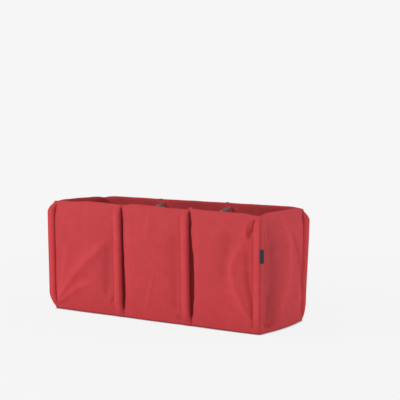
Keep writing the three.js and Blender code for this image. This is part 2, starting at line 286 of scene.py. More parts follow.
@dataclass(frozen=True)
class NeedleFelt(Finish):
    """Needle-punched geotextile: grey-brown staple fibres pressed flat, dull and slightly hairy."""

    colour: str = "#8b8781"
    dark: str = "#67625c"
    pale: str = "#a9a49c"
    fibres: tuple[tuple[float, tuple[float, float, float]], ...] = (
        (0.5, (260.0, 60.0, 260.0)),
        (-0.7, (60.0, 260.0, 240.0)),
    )  # turn in radians and scales of each of its two layers
    surface: ClassVar[dict[str, float]] = {
        "Roughness": 0.95,
        "Specular IOR Level": 0.15,
        "Sheen Weight": 0.25,
    }

    def dress(self, tree: bpy.types.NodeTree) -> Inputs:
        """Colour from stretched fibre noise in two directions, relief from the same fibres."""
        add = partial(add_node, tree)
        spot = add("ShaderNodeTexCoord").outputs["Object"]
        layers = []
        for turn, stretch in self.fibres:
            laid = add("ShaderNodeMapping", Vector=spot, Rotation=(turn, turn, turn), Scale=stretch)
            hairs = add("ShaderNodeTexNoise", Vector=laid.outputs[0], Scale=2.0, Detail=5.0, Roughness=0.7)
            layers.append(hairs.outputs["Fac"])
        both = add("ShaderNodeMath", {"operation": "MULTIPLY"}, i0=layers[0], i1=layers[1]).outputs[0]
        tone = add("ShaderNodeMapRange", Value=both, i1=0.12, i2=0.42, i3=0.0, i4=1.0)
        ramp = add("ShaderNodeValToRGB", Fac=tone.outputs[0])
        ramp.color_ramp.elements[0].color = linear(self.dark)
        ramp.color_ramp.elements[1].color = linear(self.pale)
        ramp.color_ramp.elements.new(0.5).color = linear(self.colour)
        bump = add("ShaderNodeBump", Height=both, Distance=0.0012, Strength=0.7)
        return {"Base Color": ramp.outputs[0], "Normal": bump.outputs[0]}


@dataclass(frozen=True)
class GlassFibreRod(Finish):
    """Pultruded glass fibre in resin: off-white, with fine lengthwise streaks and a satin surface."""

    colour: str = "#d9d4c2"
    streak: str = "#b9b29a"
    drawn: tuple[float, float, float] = (900.0, 900.0, 8.0)  # scales of the streaks across and along
    surface: ClassVar[dict[str, float]] = {"Roughness": 0.38}

    def dress(self, tree: bpy.types.NodeTree) -> Inputs:
        """Colour from noise drawn out along the rod."""
        add = partial(add_node, tree)
        spot = add("ShaderNodeTexCoord").outputs["Object"]
        drawn = add("ShaderNodeMapping", Vector=spot, Scale=self.drawn).outputs[0]
        lines = add("ShaderNodeTexNoise", Vector=drawn, Scale=1.0, Detail=3.0).outputs["Fac"]
        colour = add("ShaderNodeMix", COLOURS, i0=lines, i6=linear(self.colour), i7=linear(self.streak))
        return {"Base Color": colour.outputs[2]}


@dataclass(frozen=True)
class WovenRibbon(Finish):
    """Close-woven polyester satin ribbon: black, with fine cross ribs and a faint gloss along them."""

    colour: str = "#15151d"
    rib: str = "#262631"
    pitch: float = 0.8  # mm from rib to rib
    surface: ClassVar[dict[str, float]] = {"Roughness": 0.5}

    def dress(self, tree: bpy.types.NodeTree) -> Inputs:
        """Ribs across the ribbon, in colour and relief."""
        add = partial(add_node, tree)
        cloth = add("ShaderNodeUVMap", {"uv_map": "cloth"}).outputs[0]
        ribs = add(
            "ShaderNodeTexWave",
            {"wave_type": "BANDS", "bands_direction": "Y"},
            Vector=cloth,
            Scale=ONE_WAVE / (self.pitch * MM),
            Distortion=0.4,
        ).outputs["Fac"]
        colour = add("ShaderNodeMix", COLOURS, i0=ribs, i6=linear(self.colour), i7=linear(self.rib))
        bump = add("ShaderNodeBump", Height=ribs, Distance=0.0002, Strength=0.5)
        return {"Base Color": colour.outputs[2], "Normal": bump.outputs[0]}


@dataclass(frozen=True)
class PolyesterThread(Finish):
    """Bonded polyester sewing thread: the canvas's red, a shade brighter, with the gloss of its twist."""

    colour: str = "#c64449"
    twist: str = "#b2393f"
    pitch: float = 0.5  # mm from twist to twist
    surface: ClassVar[dict[str, float]] = {"Roughness": 0.48}

    def dress(self, tree: bpy.types.NodeTree) -> Inputs:
        """The twist's marks, in colour."""
        add = partial(add_node, tree)
        spot = add("ShaderNodeTexCoord").outputs["Object"]
        marks = add("ShaderNodeTexNoise", Vector=spot, Scale=1 / (self.pitch * MM), Detail=1.0).outputs["Fac"]
        colour = add("ShaderNodeMix", COLOURS, i0=marks, i6=linear(self.colour), i7=linear(self.twist))
        return {"Base Color": colour.outputs[2]}


CANVAS = CoatedCanvas("red_coated_canvas")
THREAD = PolyesterThread("red_sewing_thread")
FELT = NeedleFelt("grey_needle_felt")
ROD = GlassFibreRod("pultruded_glass_fibre")
RIBBON = WovenRibbon("black_woven_ribbon")


# Sizes


@dataclass(frozen=True)
class Sizes:
    """The planter's sizes in millimetres. Those of the large forms are the same as in its solids."""

    length: float = 900.0  # between the rim planes of the two ends
    depth: float = 300.0  # between those of the front and the back
    height: float = 400.0  # of the rim at the corners
    rim_rise: float = 8.0  # how much higher the rim runs between the corners
    rim_rise_run: float = 70.0  # length along the wall over which it climbs to that
    wall_top: float = 397.7  # height of a wall's outer face, below the turn of the rim
    canvas: float = 2.0  # thickness
    felt: float = 3.0
    foot_round: float = 8.0  # radius on which a wall turns under
    lip: float = 3.0  # how much further its lip reaches under the floor
    rim_band: float = 4.0  # height of the straight band under the rim
    top_taper: float = 32.0  # length over which a tube draws in below that band
    bottom_taper: float = 54.0  # and above the foot
    taper_power: float = 1.6  # how round both are: 1 is straight
    edge_stand: float = 9.0  # how far a wall stands proud where it turns into a tuck
    bulge: float = 14.0  # and half-way between two tucks
    turn_radius: float = 9.0  # with which it turns into a tuck
    valley: float = -3.5  # stand of the canvas at the bottom of the turn to a corner's tube
    slit_floor: float = -7.7  # and at the bottom of the slit beside a divider's tube
    slit_behind_hem: float = 0.3  # share of its depth that a slit has behind the hem
    slit_hem: tuple[float, float] = (335.0, 365.0)  # heights between which it gets shallower for the hem
    slit_foot: tuple[float, float] = (17.0, 41.0)  # heights between which its painted shade comes in above the foot
    slit_head: tuple[float, float] = (2.0, 14.0)  # distances below the wall's top between which its painted shade comes in
    dark_turn: float = 55.0  # degrees of a wall's turn into a tuck by which the slit's painted shade has gone
    dark_fade: float = 50.0  # degrees over which it goes
    hem_gap: float = 0.5  # between the hem and the bottom of a slit
    lip_gap: float = 1.0  # between the lip and the middle of a corner's foot
    least_turn: float = 1.5  # radius with which a wall turns into a tuck that is pressed flat
    soft_stand: float = 0.85  # share of its stand that a wall keeps where it runs on into a soft tuck
    lining_depth: float = 10.6  # of the lining's outer face where it runs behind a full tube
    lining_depth_flat: float = 4.8  # and behind a flat one
    hem_depth: float = 8.2  # inner face of the turned-in hem, behind the rim plane
    hem_foot: float = 352.0  # height of the hem's lower edge
    rim_radius: float = 3.9  # with which the canvas turns over at the rim
    divider_half: float = 2.6  # half a divider's thickness, and clearance
    least_gap: float = 0.4  # between a tube and the wall beside it
    pleat: float = 2.4  # how far a pleat pressed flat stands out
    slit_edge_drop: float = 6.5  # how much lower a panel starts beside a divider's slit
    lean_fade: float = 60.0  # height by which a leaning tube has come back out to the foot


SIZES = Sizes()


def fullness(z: float, top: float = SIZES.top_taper, bottom: float = SIZES.bottom_taper) -> float:
    """Share of its full size that a tuck or wall has at a height.

    Args:
        z: Height in millimetres.
        top: Length over which it draws in below the rim.
        bottom: Length over which it draws in above the foot.

    Returns:
        0 at the rim and the foot, 1 between.
    """
    up = 1 - (1 - clamp((z - SIZES.foot_round) / bottom)) ** SIZES.taper_power
    down = 1 - (1 - clamp((SIZES.wall_top - SIZES.rim_band - z) / top)) ** SIZES.taper_power
    return up * down


def lift(z: float, from_corner: float) -> float:
    """How much higher a point of a wall lies because the rim runs higher between the corners."""
    climb = 1 - (1 - clamp(from_corner / SIZES.rim_rise_run)) ** 2
    return SIZES.rim_rise * climb * (z / SIZES.wall_top) ** 4


def slit_painted_shade(z: float) -> float:
    """How strong the painted shade in a slit beside a tuck is at a height: 0 at the rim and the foot, 1
    between.
    """
    return between(SIZES.wall_top - z, *SIZES.slit_head) * between(z, *SIZES.slit_foot)


def slit_floor(z: float) -> float:
    """Stand of the canvas at the bottom of a slit. It is shallower behind the hem."""
    behind_hem = between(z, *SIZES.slit_hem)
    return SIZES.slit_floor * fullness(z) * lerp(1.0, SIZES.slit_behind_hem, behind_hem)


# Cloth in plan


@dataclass(frozen=True)
class Tuck:
    """A rod's tube on one wall: a pleat of the wall's own cloth round the rod.

    Angles are in degrees from straight outward, towards the wall's right.
    """

    middle: float  # where its head is along the wall
    radius: float
    stand: float  # how far its axis stands out from the rim plane
    first: float  # angle at which its cloth leaves the wall on its left
    last: float  # and at which it comes to the wall or the seam on its right
    flat: float = 15.0  # half its width where it is pressed flat against the wall at the rim
    flat_foot: float = 18.0  # and at the foot
    drift: float = 0.0  # how much further right its foot is than its head
    boxy: float = 2.0  # power of its section: 2 is round
    wide_left: float = 1.0  # how much further its left half reaches
    soft_left: float = 0.0  # 1 where its left flank runs on into the wall with no slit
    soft_right: float = 0.0
    ear: float = 0.0  # how far the rim peaks over its right edge
    pale: float = 0.5  # strength of the painted highlight on its face, painted shade where below 0
    painted_light_at: float = -12.0  # and where, in degrees
    painted_light_over: float = 42.0  # degrees over which that fades
    dark_from: float = 74.0  # degrees from which on its flank gets the slit's painted shade
    dark_over: float = 34.0  # and over which that comes to its full
    fold_up: float = 0.3  # share of the pressed pleat at which it has risen on its left
    fold_down: float = 0.86  # and from which on it folds down on its right
    fold_under: float = 1.8  # how far it folds down, as a share of how far it stands out
    open_right: Pairs = ()  # heights and widths of the slit on its right
    open_left: Pairs = ()

    def size(self, z: float) -> float:
        """Share of its full size at a height."""
        return fullness(z)

    def centre(self, z: float) -> float:
        """Where its middle is at a height."""
        return self.middle + self.drift * (1 - z / SIZES.height)

    def half_flat(self, z: float) -> float:
        """Half its width where it is pressed flat."""
        return lerp(self.flat_foot, self.flat, z / SIZES.height)

    def gap(self, z: float, hand: int) -> float:
        """Width of the slit between the tube and the wall beside it."""
        stops = self.open_right if hand > 0 else self.open_left
        return eased(stops, z) if stops else SIZES.least_gap

    def edge(self, z: float, hand: int) -> float:
        """Where the wall on that hand ends against the tuck."""
        reach = lerp(self.half_flat(z), self.radius, self.size(z)) * (self.wide_left if hand < 0 else 1.0)
        return self.centre(z) + hand * (reach + self.gap(z, hand))

    def soft(self, hand: int) -> float:
        """How softly the wall on that hand runs into the tuck."""
        return self.soft_right if hand > 0 else self.soft_left

    def flat_path(self, share: float, z: float) -> tuple[float, float]:
        """The pleat pressed flat: level with the wall on its left, with a folded edge on its right."""
        step_up, step_down = between(share, 0.0, self.fold_up), between(share, self.fold_down, 1.0)
        along = 2 * share - 1
        along *= self.wide_left if along < 0 else 1.0
        stand = SIZES.pleat * (step_up - self.fold_under * step_down)
        return self.centre(z) + self.half_flat(z) * along, stand

    def outer(self, share: float, z: float) -> tuple[float, float]:
        """Place of the cloth at a share of the way round the tube.

        Args:
            share: 0 at the wall on the left, 1 at the wall or seam on the right.
            z: Height.

        Returns:
            Distance along the wall, and outward from the rim plane.
        """
        angle = math.radians(lerp(self.first, self.last, share))
        size = self.size(z)
        along, out = (
            self.radius * math.copysign(abs(value) ** (2 / self.boxy), value)
            for value in (math.sin(angle), math.cos(angle))
        )
        along *= self.wide_left if along < 0 else 1.0
        full = (self.centre(z) + along, self.stand + out)
        closed = self.flat_path(share, z)
        return lerp(closed[0], full[0], size), lerp(closed[1], full[1], size)


@dataclass(frozen=True)
class CornerTuck(Tuck):
    """Half of a corner rod's tube: the share of it that this wall's cloth covers, up to the corner seam."""

    hand: int = 1  # 1 at the wall's right end, -1 at its left end
    corner: float = 450.0  # where the two rim planes cross
    rim_corner: float = 2.5  # radius of the corner in plan at the rim
    foot_corner: float = 16.0
    run: float = 12.0  # length along the wall that the closed tube takes up
    lean: float = 4.0  # how far the tube leans in from the rim to the foot, on both walls
    seam_dip: float = 0.9  # how deep the corner's seam lies
    seam_share: float = 0.06  # share of the half tube over which the cloth dips to it

    def to_seam(self, share: float) -> float:
        """Share of the way from the wall to the corner's seam."""
        return share if self.hand > 0 else 1 - share

    def radius_at(self, z: float) -> float:
        """Radius of the closed corner in plan."""
        return lerp(self.foot_corner, self.rim_corner, ease(z / SIZES.height))

    def edge(self, z: float, hand: int) -> float:
        """Where the wall ends against the tube."""
        closed = self.corner - self.radius_at(z) - self.run - SIZES.least_gap
        reach = self.radius * (self.wide_left if self.hand > 0 else 1.0)
        full = abs(self.middle) - reach - self.gap(z, hand)
        return self.hand * (lerp(closed, full, self.size(z)) - self.leaning(z))

    def leaning(self, z: float) -> float:
        """How far the tube has leant in at a height."""
        return self.lean * ease(1 - z / SIZES.height) * ease(z / SIZES.lean_fade)

    def flat_path(self, share: float, z: float) -> tuple[float, float]:
        """The closed tube: straight along the wall, then round half the corner."""
        along, radius = self.to_seam(share), self.radius_at(z)
        if along < 0.5:
            return self.hand * (self.corner - radius - self.run * (1 - along / 0.5)), 0.0
        angle = math.radians(45 * (along - 0.5) / 0.5)
        return self.hand * (self.corner - radius + radius * math.sin(angle)), radius * (math.cos(angle) - 1)

    def outer(self, share: float, z: float) -> tuple[float, float]:
        """Place of the cloth, which dips in at the corner seam."""
        x, stand = super().outer(share, z)
        near = clamp((self.to_seam(share) - 1 + self.seam_share) / self.seam_share)
        dip = self.seam_dip * near**2 * SLANT + self.leaning(z)
        return x - self.hand * dip, stand - dip


@dataclass(frozen=True)
class Fold:
    """A fold in a wall along a path: a ridge, or a hollow where stand is below 0."""

    path: Pairs  # places along the wall and up it
    width: float  # of its left flank, at which it has sunk to about a third
    stand: float  # how far its crest stands out
    right: float = 1.0  # width of the flank on its right, going along the path, as a share of the left one's
    painted_weight: float = 1.0  # how strongly it shows in painted light on its ridge or painted shade in its hollow
    narrow: float = 0.45  # its width where it starts, as a share of its full width
    flank: float = 1.5  # power of its flanks: 2 is round
    reach: float = 4.0  # its widths, from which on the cloth is flat
    past: float = 0.06  # how far it runs on past its path's ends, as a share of the path
    rise: float = 0.14  # share of the path at which it stands out in full
    fall: float = 0.76  # and from which on it sinks

    def at(self, x: float, z: float) -> float:
        """How far the cloth stands out because of the fold."""
        spans = [math.dist(a, b) for a, b in zip(self.path, self.path[1:])]
        nearest, share, hand, done = math.inf, 0.0, 1.0, 0.0
        for (a, b), span in zip(zip(self.path, self.path[1:]), spans):
            dx, dz = (b[0] - a[0]) / span, (b[1] - a[1]) / span
            run = clamp((x - a[0]) * dx + (z - a[1]) * dz, 0.0, span)
            away = math.hypot(x - a[0] - dx * run, z - a[1] - dz * run)
            if away < nearest:
                nearest, share = away, (done + run) / sum(spans)
                hand = (x - a[0]) * dz - (z - a[1]) * dx
            done += span
        width = self.width * (self.right if hand > 0 else 1.0) * lerp(self.narrow, 1.0, ease(share * 2))
        if nearest > self.reach * width:
            return 0.0
        fade = between(share, -self.past, self.rise) * (1 - between(share, self.fall, 1 + self.past))
        return self.stand * fade * math.exp(-((nearest / width) ** self.flank))


@dataclass(frozen=True)
class Panel:
    """The cloth of one bay between two tucks."""

    left: Tuck
    right: Tuck
    folds: tuple[Fold, ...]
    seed: float  # of its unevenness
    foot: float = 0.0  # how far its foot bulges out
    foot_top: float = 120.0  # height at which that bulge has ended
    taper: tuple[float, float] = (70.0, 80.0)  # over which it draws in at the rim and the foot
    fade_foot: tuple[float, float] = (4.0, 30.0)  # heights between which its folds come up
    fade_head: tuple[float, float] = (-4.0, 22.0)  # and distances below the wall's top
    crown: float = 3.0  # power of its bulge in plan: 2 is round, and more is fuller
    slack: float = 1.7  # height of its slow unevenness
    slack_span: tuple[float, float] = (95.0, 80.0)  # from hill to hollow, along and up
    crumple: float = 0.45  # height of the finer unevenness
    crumple_span: tuple[float, float] = (27.0, 33.0)
    slit_edge: float = 22.0  # how wide its lower edge beside a divider's slit is
    hem_give: float = 18.0  # distance from a divider's slit within which the hem gives way to it
    fully_painted_stand: float = 16.0  # stand of a fold whose painted light or shade is at its full
    wear_limits: tuple[float, float] = (-1.2, 1.0)  # of the painted shade in its darkest hollow and the painted light on its palest ridge

    def ends(self, z: float) -> tuple[float, float]:
        """Where the panel starts and ends at a height."""
        return self.left.edge(z, 1), self.right.edge(z, -1)

    def across(self, x: float, z: float) -> float:
        """Where a point lies across the panel, from -1 at its start to 1 at its end."""
        start, end = self.ends(z)
        return clamp(2 * (x - start) / (end - start) - 1, -1, 1)

    def faded(self, z: float) -> float:
        """Share of their height that folds have left at a height."""
        return between(SIZES.wall_top - z, *self.fade_head) * between(z, *self.fade_foot)

    def stand(self, x: float, z: float) -> float:
        """How far its face stands out from the rim plane."""
        full = fullness(z, *self.taper)
        middle = 1 - abs(self.across(x, z)) ** self.crown
        pillow = lerp(SIZES.edge_stand, SIZES.bulge, middle) * full + self.foot_stand(x, z)
        if not isinstance(self.left, CornerTuck):
            pillow -= SIZES.slit_edge_drop * bell(x - self.ends(z)[0], self.slit_edge) * full
        folds = sum(fold.at(x, z) for fold in self.folds)
        (long, high), (short, low) = self.slack_span, self.crumple_span
        soft = self.slack * uneven(x / long, z / high, self.seed)
        small = self.crumple * uneven(x / short, z / low, self.seed + 7)
        return pillow + self.faded(z) * (folds + soft + small)

    def foot_stand(self, x: float, z: float) -> float:
        """How much of that is the bulge of its foot."""
        return self.foot * (1 - self.across(x, z) ** 2) * (1 - ease(z / self.foot_top))

    def wear(self, x: float, z: float) -> float:
        """How much painted light the cloth gets, painted shade where below 0: as high as its folds stand."""
        painted_amount = sum(fold.at(x, z) * fold.painted_weight for fold in self.folds) * self.faded(z)
        return clamp(painted_amount / self.fully_painted_stand, *self.wear_limits)

    def hem_stand(self, x: float, z: float) -> float:
        """How far the inner face of the turned-in hem stands out. It gives way to the slits."""
        start, end = self.ends(z)
        stand = self.stand(x, z) - SIZES.hem_depth
        back = min(stand, slit_floor(z) - 2 * SIZES.canvas - SIZES.hem_gap)
        for tuck, away in ((self.left, x - start), (self.right, end - x)):
            if not isinstance(tuck, CornerTuck):
                stand = min(stand, lerp(stand, back, ease(1 - away / self.hem_give)))
        return stand


class Column:
    """One column of a wall's cloth, from its foot up over the rim and down the hem."""

    def outer(self, z: float) -> tuple[float, float]:
        """Place of the outer face at a height."""
        raise NotImplementedError

    def hem(self, z: float) -> tuple[float, float]:
        """Place of the turned-in hem's inner face at a height."""
        raise NotImplementedError

    def inward(self) -> tuple[float, float]:
        """The way that the foot turns under."""
        return 0.0, -1.0

    def hollow(self, z: float) -> float:
        """How much painted shade the column gets deep in a tuck, 0 to 1."""
        return 0.0

    def wear(self, z: float) -> float:
        """How much painted light the cloth gets: on ridges, with painted shade in hollows."""
        return 0.0


@dataclass(frozen=True)
class PanelColumn(Column):
    """A column of a panel. Near its ends it turns into the tuck: by 0 degrees deep in it, by 90 outside."""

    panel: Panel
    share: float
    turn: float = 90.0
    hand: int = 0  # -1 in the turn at the panel's left end, 1 at its right end

    def tuck(self) -> Tuck:
        """The tuck that it turns into."""
        return self.panel.left if self.hand < 0 else self.panel.right

    def outer(self, z: float) -> tuple[float, float]:
        """Place of the outer face."""
        start, end = self.panel.ends(z)
        size = fullness(z)
        radius = lerp(SIZES.least_turn, SIZES.turn_radius, size)
        if not self.hand:
            x = lerp(start + radius, end - radius, self.share)
            return x, self.panel.stand(x, z)
        angle = math.radians(self.turn)
        inset = radius * (1 - math.cos(angle))
        x = start + inset if self.hand < 0 else end - inset
        stand = self.panel.stand(x, z)
        deep = SIZES.valley * size if isinstance(self.tuck(), CornerTuck) else slit_floor(z)
        bottom = lerp(deep, SIZES.soft_stand * stand, self.tuck().soft(-self.hand))
        return x, lerp(bottom, stand, math.sin(angle))

    def hem(self, z: float) -> tuple[float, float]:
        """Place of the hem, which doesn't turn into the tucks."""
        x, _ = self.outer(z)
        return x, self.panel.hem_stand(x, z)

    def wear(self, z: float) -> float:
        """Painted light on the panel's ridges, painted shade in its hollows."""
        return self.panel.wear(self.outer(z)[0], z)

    def hollow(self, z: float) -> float:
        """Painted shade where the turn has just begun."""
        if not self.hand:
            return 0.0
        shade = clamp((SIZES.dark_turn - self.turn) / SIZES.dark_fade)
        return shade * slit_painted_shade(z) * (1 - self.tuck().soft(-self.hand))


@dataclass(frozen=True)
class TuckColumn(Column):
    """A column of a tuck's tube."""

    tuck: Tuck
    share: float
    left: Panel | None
    right: Panel | None

    def angle(self) -> float:
        """How far round the tube it lies, in degrees from straight outward."""
        return lerp(self.tuck.first, self.tuck.last, self.share)

    def outer(self, z: float) -> tuple[float, float]:
        """Place of the outer face."""
        return self.tuck.outer(self.share, z)

    def hem(self, z: float) -> tuple[float, float]:
        """Place of the hem, which runs straight behind the tube."""
        if self.left and self.right:
            start, end = self.left.ends(z)[1], self.right.ends(z)[0]
            stand = lerp(self.left.hem_stand(start, z), self.right.hem_stand(end, z), self.share)
            return lerp(start, end, self.share), stand
        panel, hand = self.left or self.right, self.tuck.hand
        edge = panel.ends(z)[1 if hand > 0 else 0]
        along = self.tuck.to_seam(self.share)
        seam = hand * (self.tuck.corner - SIZES.hem_depth)
        return lerp(edge, seam, along), lerp(panel.stand(edge, z), 0, along) - SIZES.hem_depth

    def inward(self) -> tuple[float, float]:
        """Straight back, but towards the corner's middle, and less far, where the cloth goes round it."""
        if self.left and self.right:
            return 0.0, -1.0
        along = self.tuck.to_seam(self.share)
        angle = math.radians(45 * clamp((along - 0.5) / 0.5))
        room = (self.tuck.radius_at(0) - SIZES.lip_gap) / (SIZES.foot_round + SIZES.lip)
        reach = lerp(1.0, min(1.0, room), clamp(along * 2))
        return -self.tuck.hand * math.sin(angle) * reach, -math.cos(angle) * reach

    def wear(self, z: float) -> float:
        """A painted highlight on the tube's face, painted shade where its strength is below 0."""
        tuck = self.tuck
        return tuck.pale * tuck.size(z) * bell(self.angle() - tuck.painted_light_at, tuck.painted_light_over)

    def hollow(self, z: float) -> float:
        """Painted shade where the tube has turned away from the front."""
        angle, tuck = self.angle(), self.tuck
        soft = tuck.soft(1 if angle > 0 else -1)
        return clamp((abs(angle) - tuck.dark_from) / tuck.dark_over) * slit_painted_shade(z) * (1 - soft)


# Meshes


class Face(Enum):
    """The faces of a wall's cloth, in the order in which it runs over them."""

    LIP = "lip under the foot"
    FOOT = "turn at the foot"
    OUTER = "outer face"
    RIM = "turn at the rim"
    HEM = "hem's inner face"


@dataclass(frozen=True)
class Row:
    """A row of a wall's cloth: which face it lies on, its height, and how far round a turn it is."""

    face: Face
    z: float
    turn: float = 0.0


class Side(Enum):
    """The four sides, and the turn about Z in degrees that takes the front wall there."""

    FRONT = 0
    RIGHT_END = 90
    BACK = 180
    LEFT_END = -90

    def place(self, x: float, stand: float, z: float) -> Vector:
        """The point in metres, from millimetres along the wall, outward and up."""
        distance = (SIZES.depth if self.value in (0, 180) else SIZES.length) / 2
        turned = Matrix.Rotation(math.radians(self.value), 3, "Z") @ Vector((x, -(distance + stand), z))
        return turned * MM


def as_mesh(name: str, shape: bmesh.types.BMesh) -> bpy.types.Mesh:
    """Makes a mesh of a bmesh, which is freed."""
    mesh = bpy.data.meshes.new(name)
    shape.to_mesh(mesh)
    shape.free()
    return mesh


def add_object(name: str, data: bpy.types.ID) -> bpy.types.Object:
    """Adds an object to the scene."""
    made = bpy.data.objects.new(name, data)
    bpy.context.scene.collection.objects.link(made)
    return made


def finish_mesh(name: str, shape: bmesh.types.BMesh, finish: Finish, slot: str) -> bpy.types.Object:
    """Makes a riding, dressed object from a bmesh.

    Args:
        name: The piece's name.
        shape: The bmesh, which is freed.
        finish: Its finish.
        slot: Not used.

    Returns:
        The new object, which rides on the root body.
    """
    for face in shape.faces:
        face.smooth = True
    mesh = as_mesh(name, shape)
    mesh.materials.append(finish.material())
    piece = add_object(name, mesh)
    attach(piece, "root")
    return piece


def thicken(piece: bpy.types.Object, thickness: float, bevel: float = 0.0) -> None:
    """Gives a sheet its thickness, behind its face, and rounds its cut edges.

    Args:
        piece: The sheet.
        thickness: In millimetres.
        bevel: Radius of the cut edges in millimetres.
    """
    wall = piece.modifiers.new("thickness", "SOLIDIFY")
    wall.thickness = thickness * MM
    wall.offset = -1.0
    wall.use_quality_normals = True
    if bevel:
        edge = piece.modifiers.new("soft_edge", "BEVEL")
        edge.width = bevel * MM
        edge.segments = 2
        edge.limit_method = "ANGLE"
        edge.angle_limit = math.radians(60)


def cloth_grid(
    columns: int,
    rows: int,
    place: Callable[[int, int], Vector],
    lay: Callable[[int, int], tuple[float, float]],
    marks: dict[str, Callable[[int, int], float]] | None = None,
) -> bmesh.types.BMesh:
    """A grid of cloth.

    Args:
        columns: Number of corners along.
        rows: Number of corners up.
        place: Where a corner lies, in metres.
        lay: Where a corner lies on the flat cloth, in metres.
        marks: Values to keep on the corners, by attribute name.

    Returns:
        The bmesh, with a cloth UV map and the marks as attributes.
    """
    bm = bmesh.new()
    bmesh.ops.create_grid(bm, x_segments=columns - 1, y_segments=rows - 1, size=1.0)
    cloth = bm.loops.layers.uv.new("cloth")
    layers = {bm.verts.layers.float.new(name): value for name, value in (marks or {}).items()}
    spots = {}
    for corner in bm.verts:
        spot = (round((corner.co.x + 1) / 2 * (columns - 1)), round((corner.co.y + 1) / 2 * (rows - 1)))
        spots[corner] = spot
        for layer, value in layers.items():
            corner[layer] = value(*spot)
    for face in bm.faces:
        for loop in face.loops:
            loop[cloth].uv = lay(*spots[loop.vert])
    for corner, spot in spots.items():
        corner.co = place(*spot)
    return bm


def evenly(along: float, up: float) -> Callable[[int, int], tuple[float, float]]:
    """Where a grid's corners lie on the flat cloth, at even steps.

    Args:
        along: Step from column to column in millimetres.
        up: Step from row to row.

    Returns:
        A function for cloth_grid's lay.
    """

    def lay(column: int, row: int) -> tuple[float, float]:
        """A corner's place on the flat cloth, in metres."""
        return column * along * MM, row * up * MM

    return lay


# The canvas walls


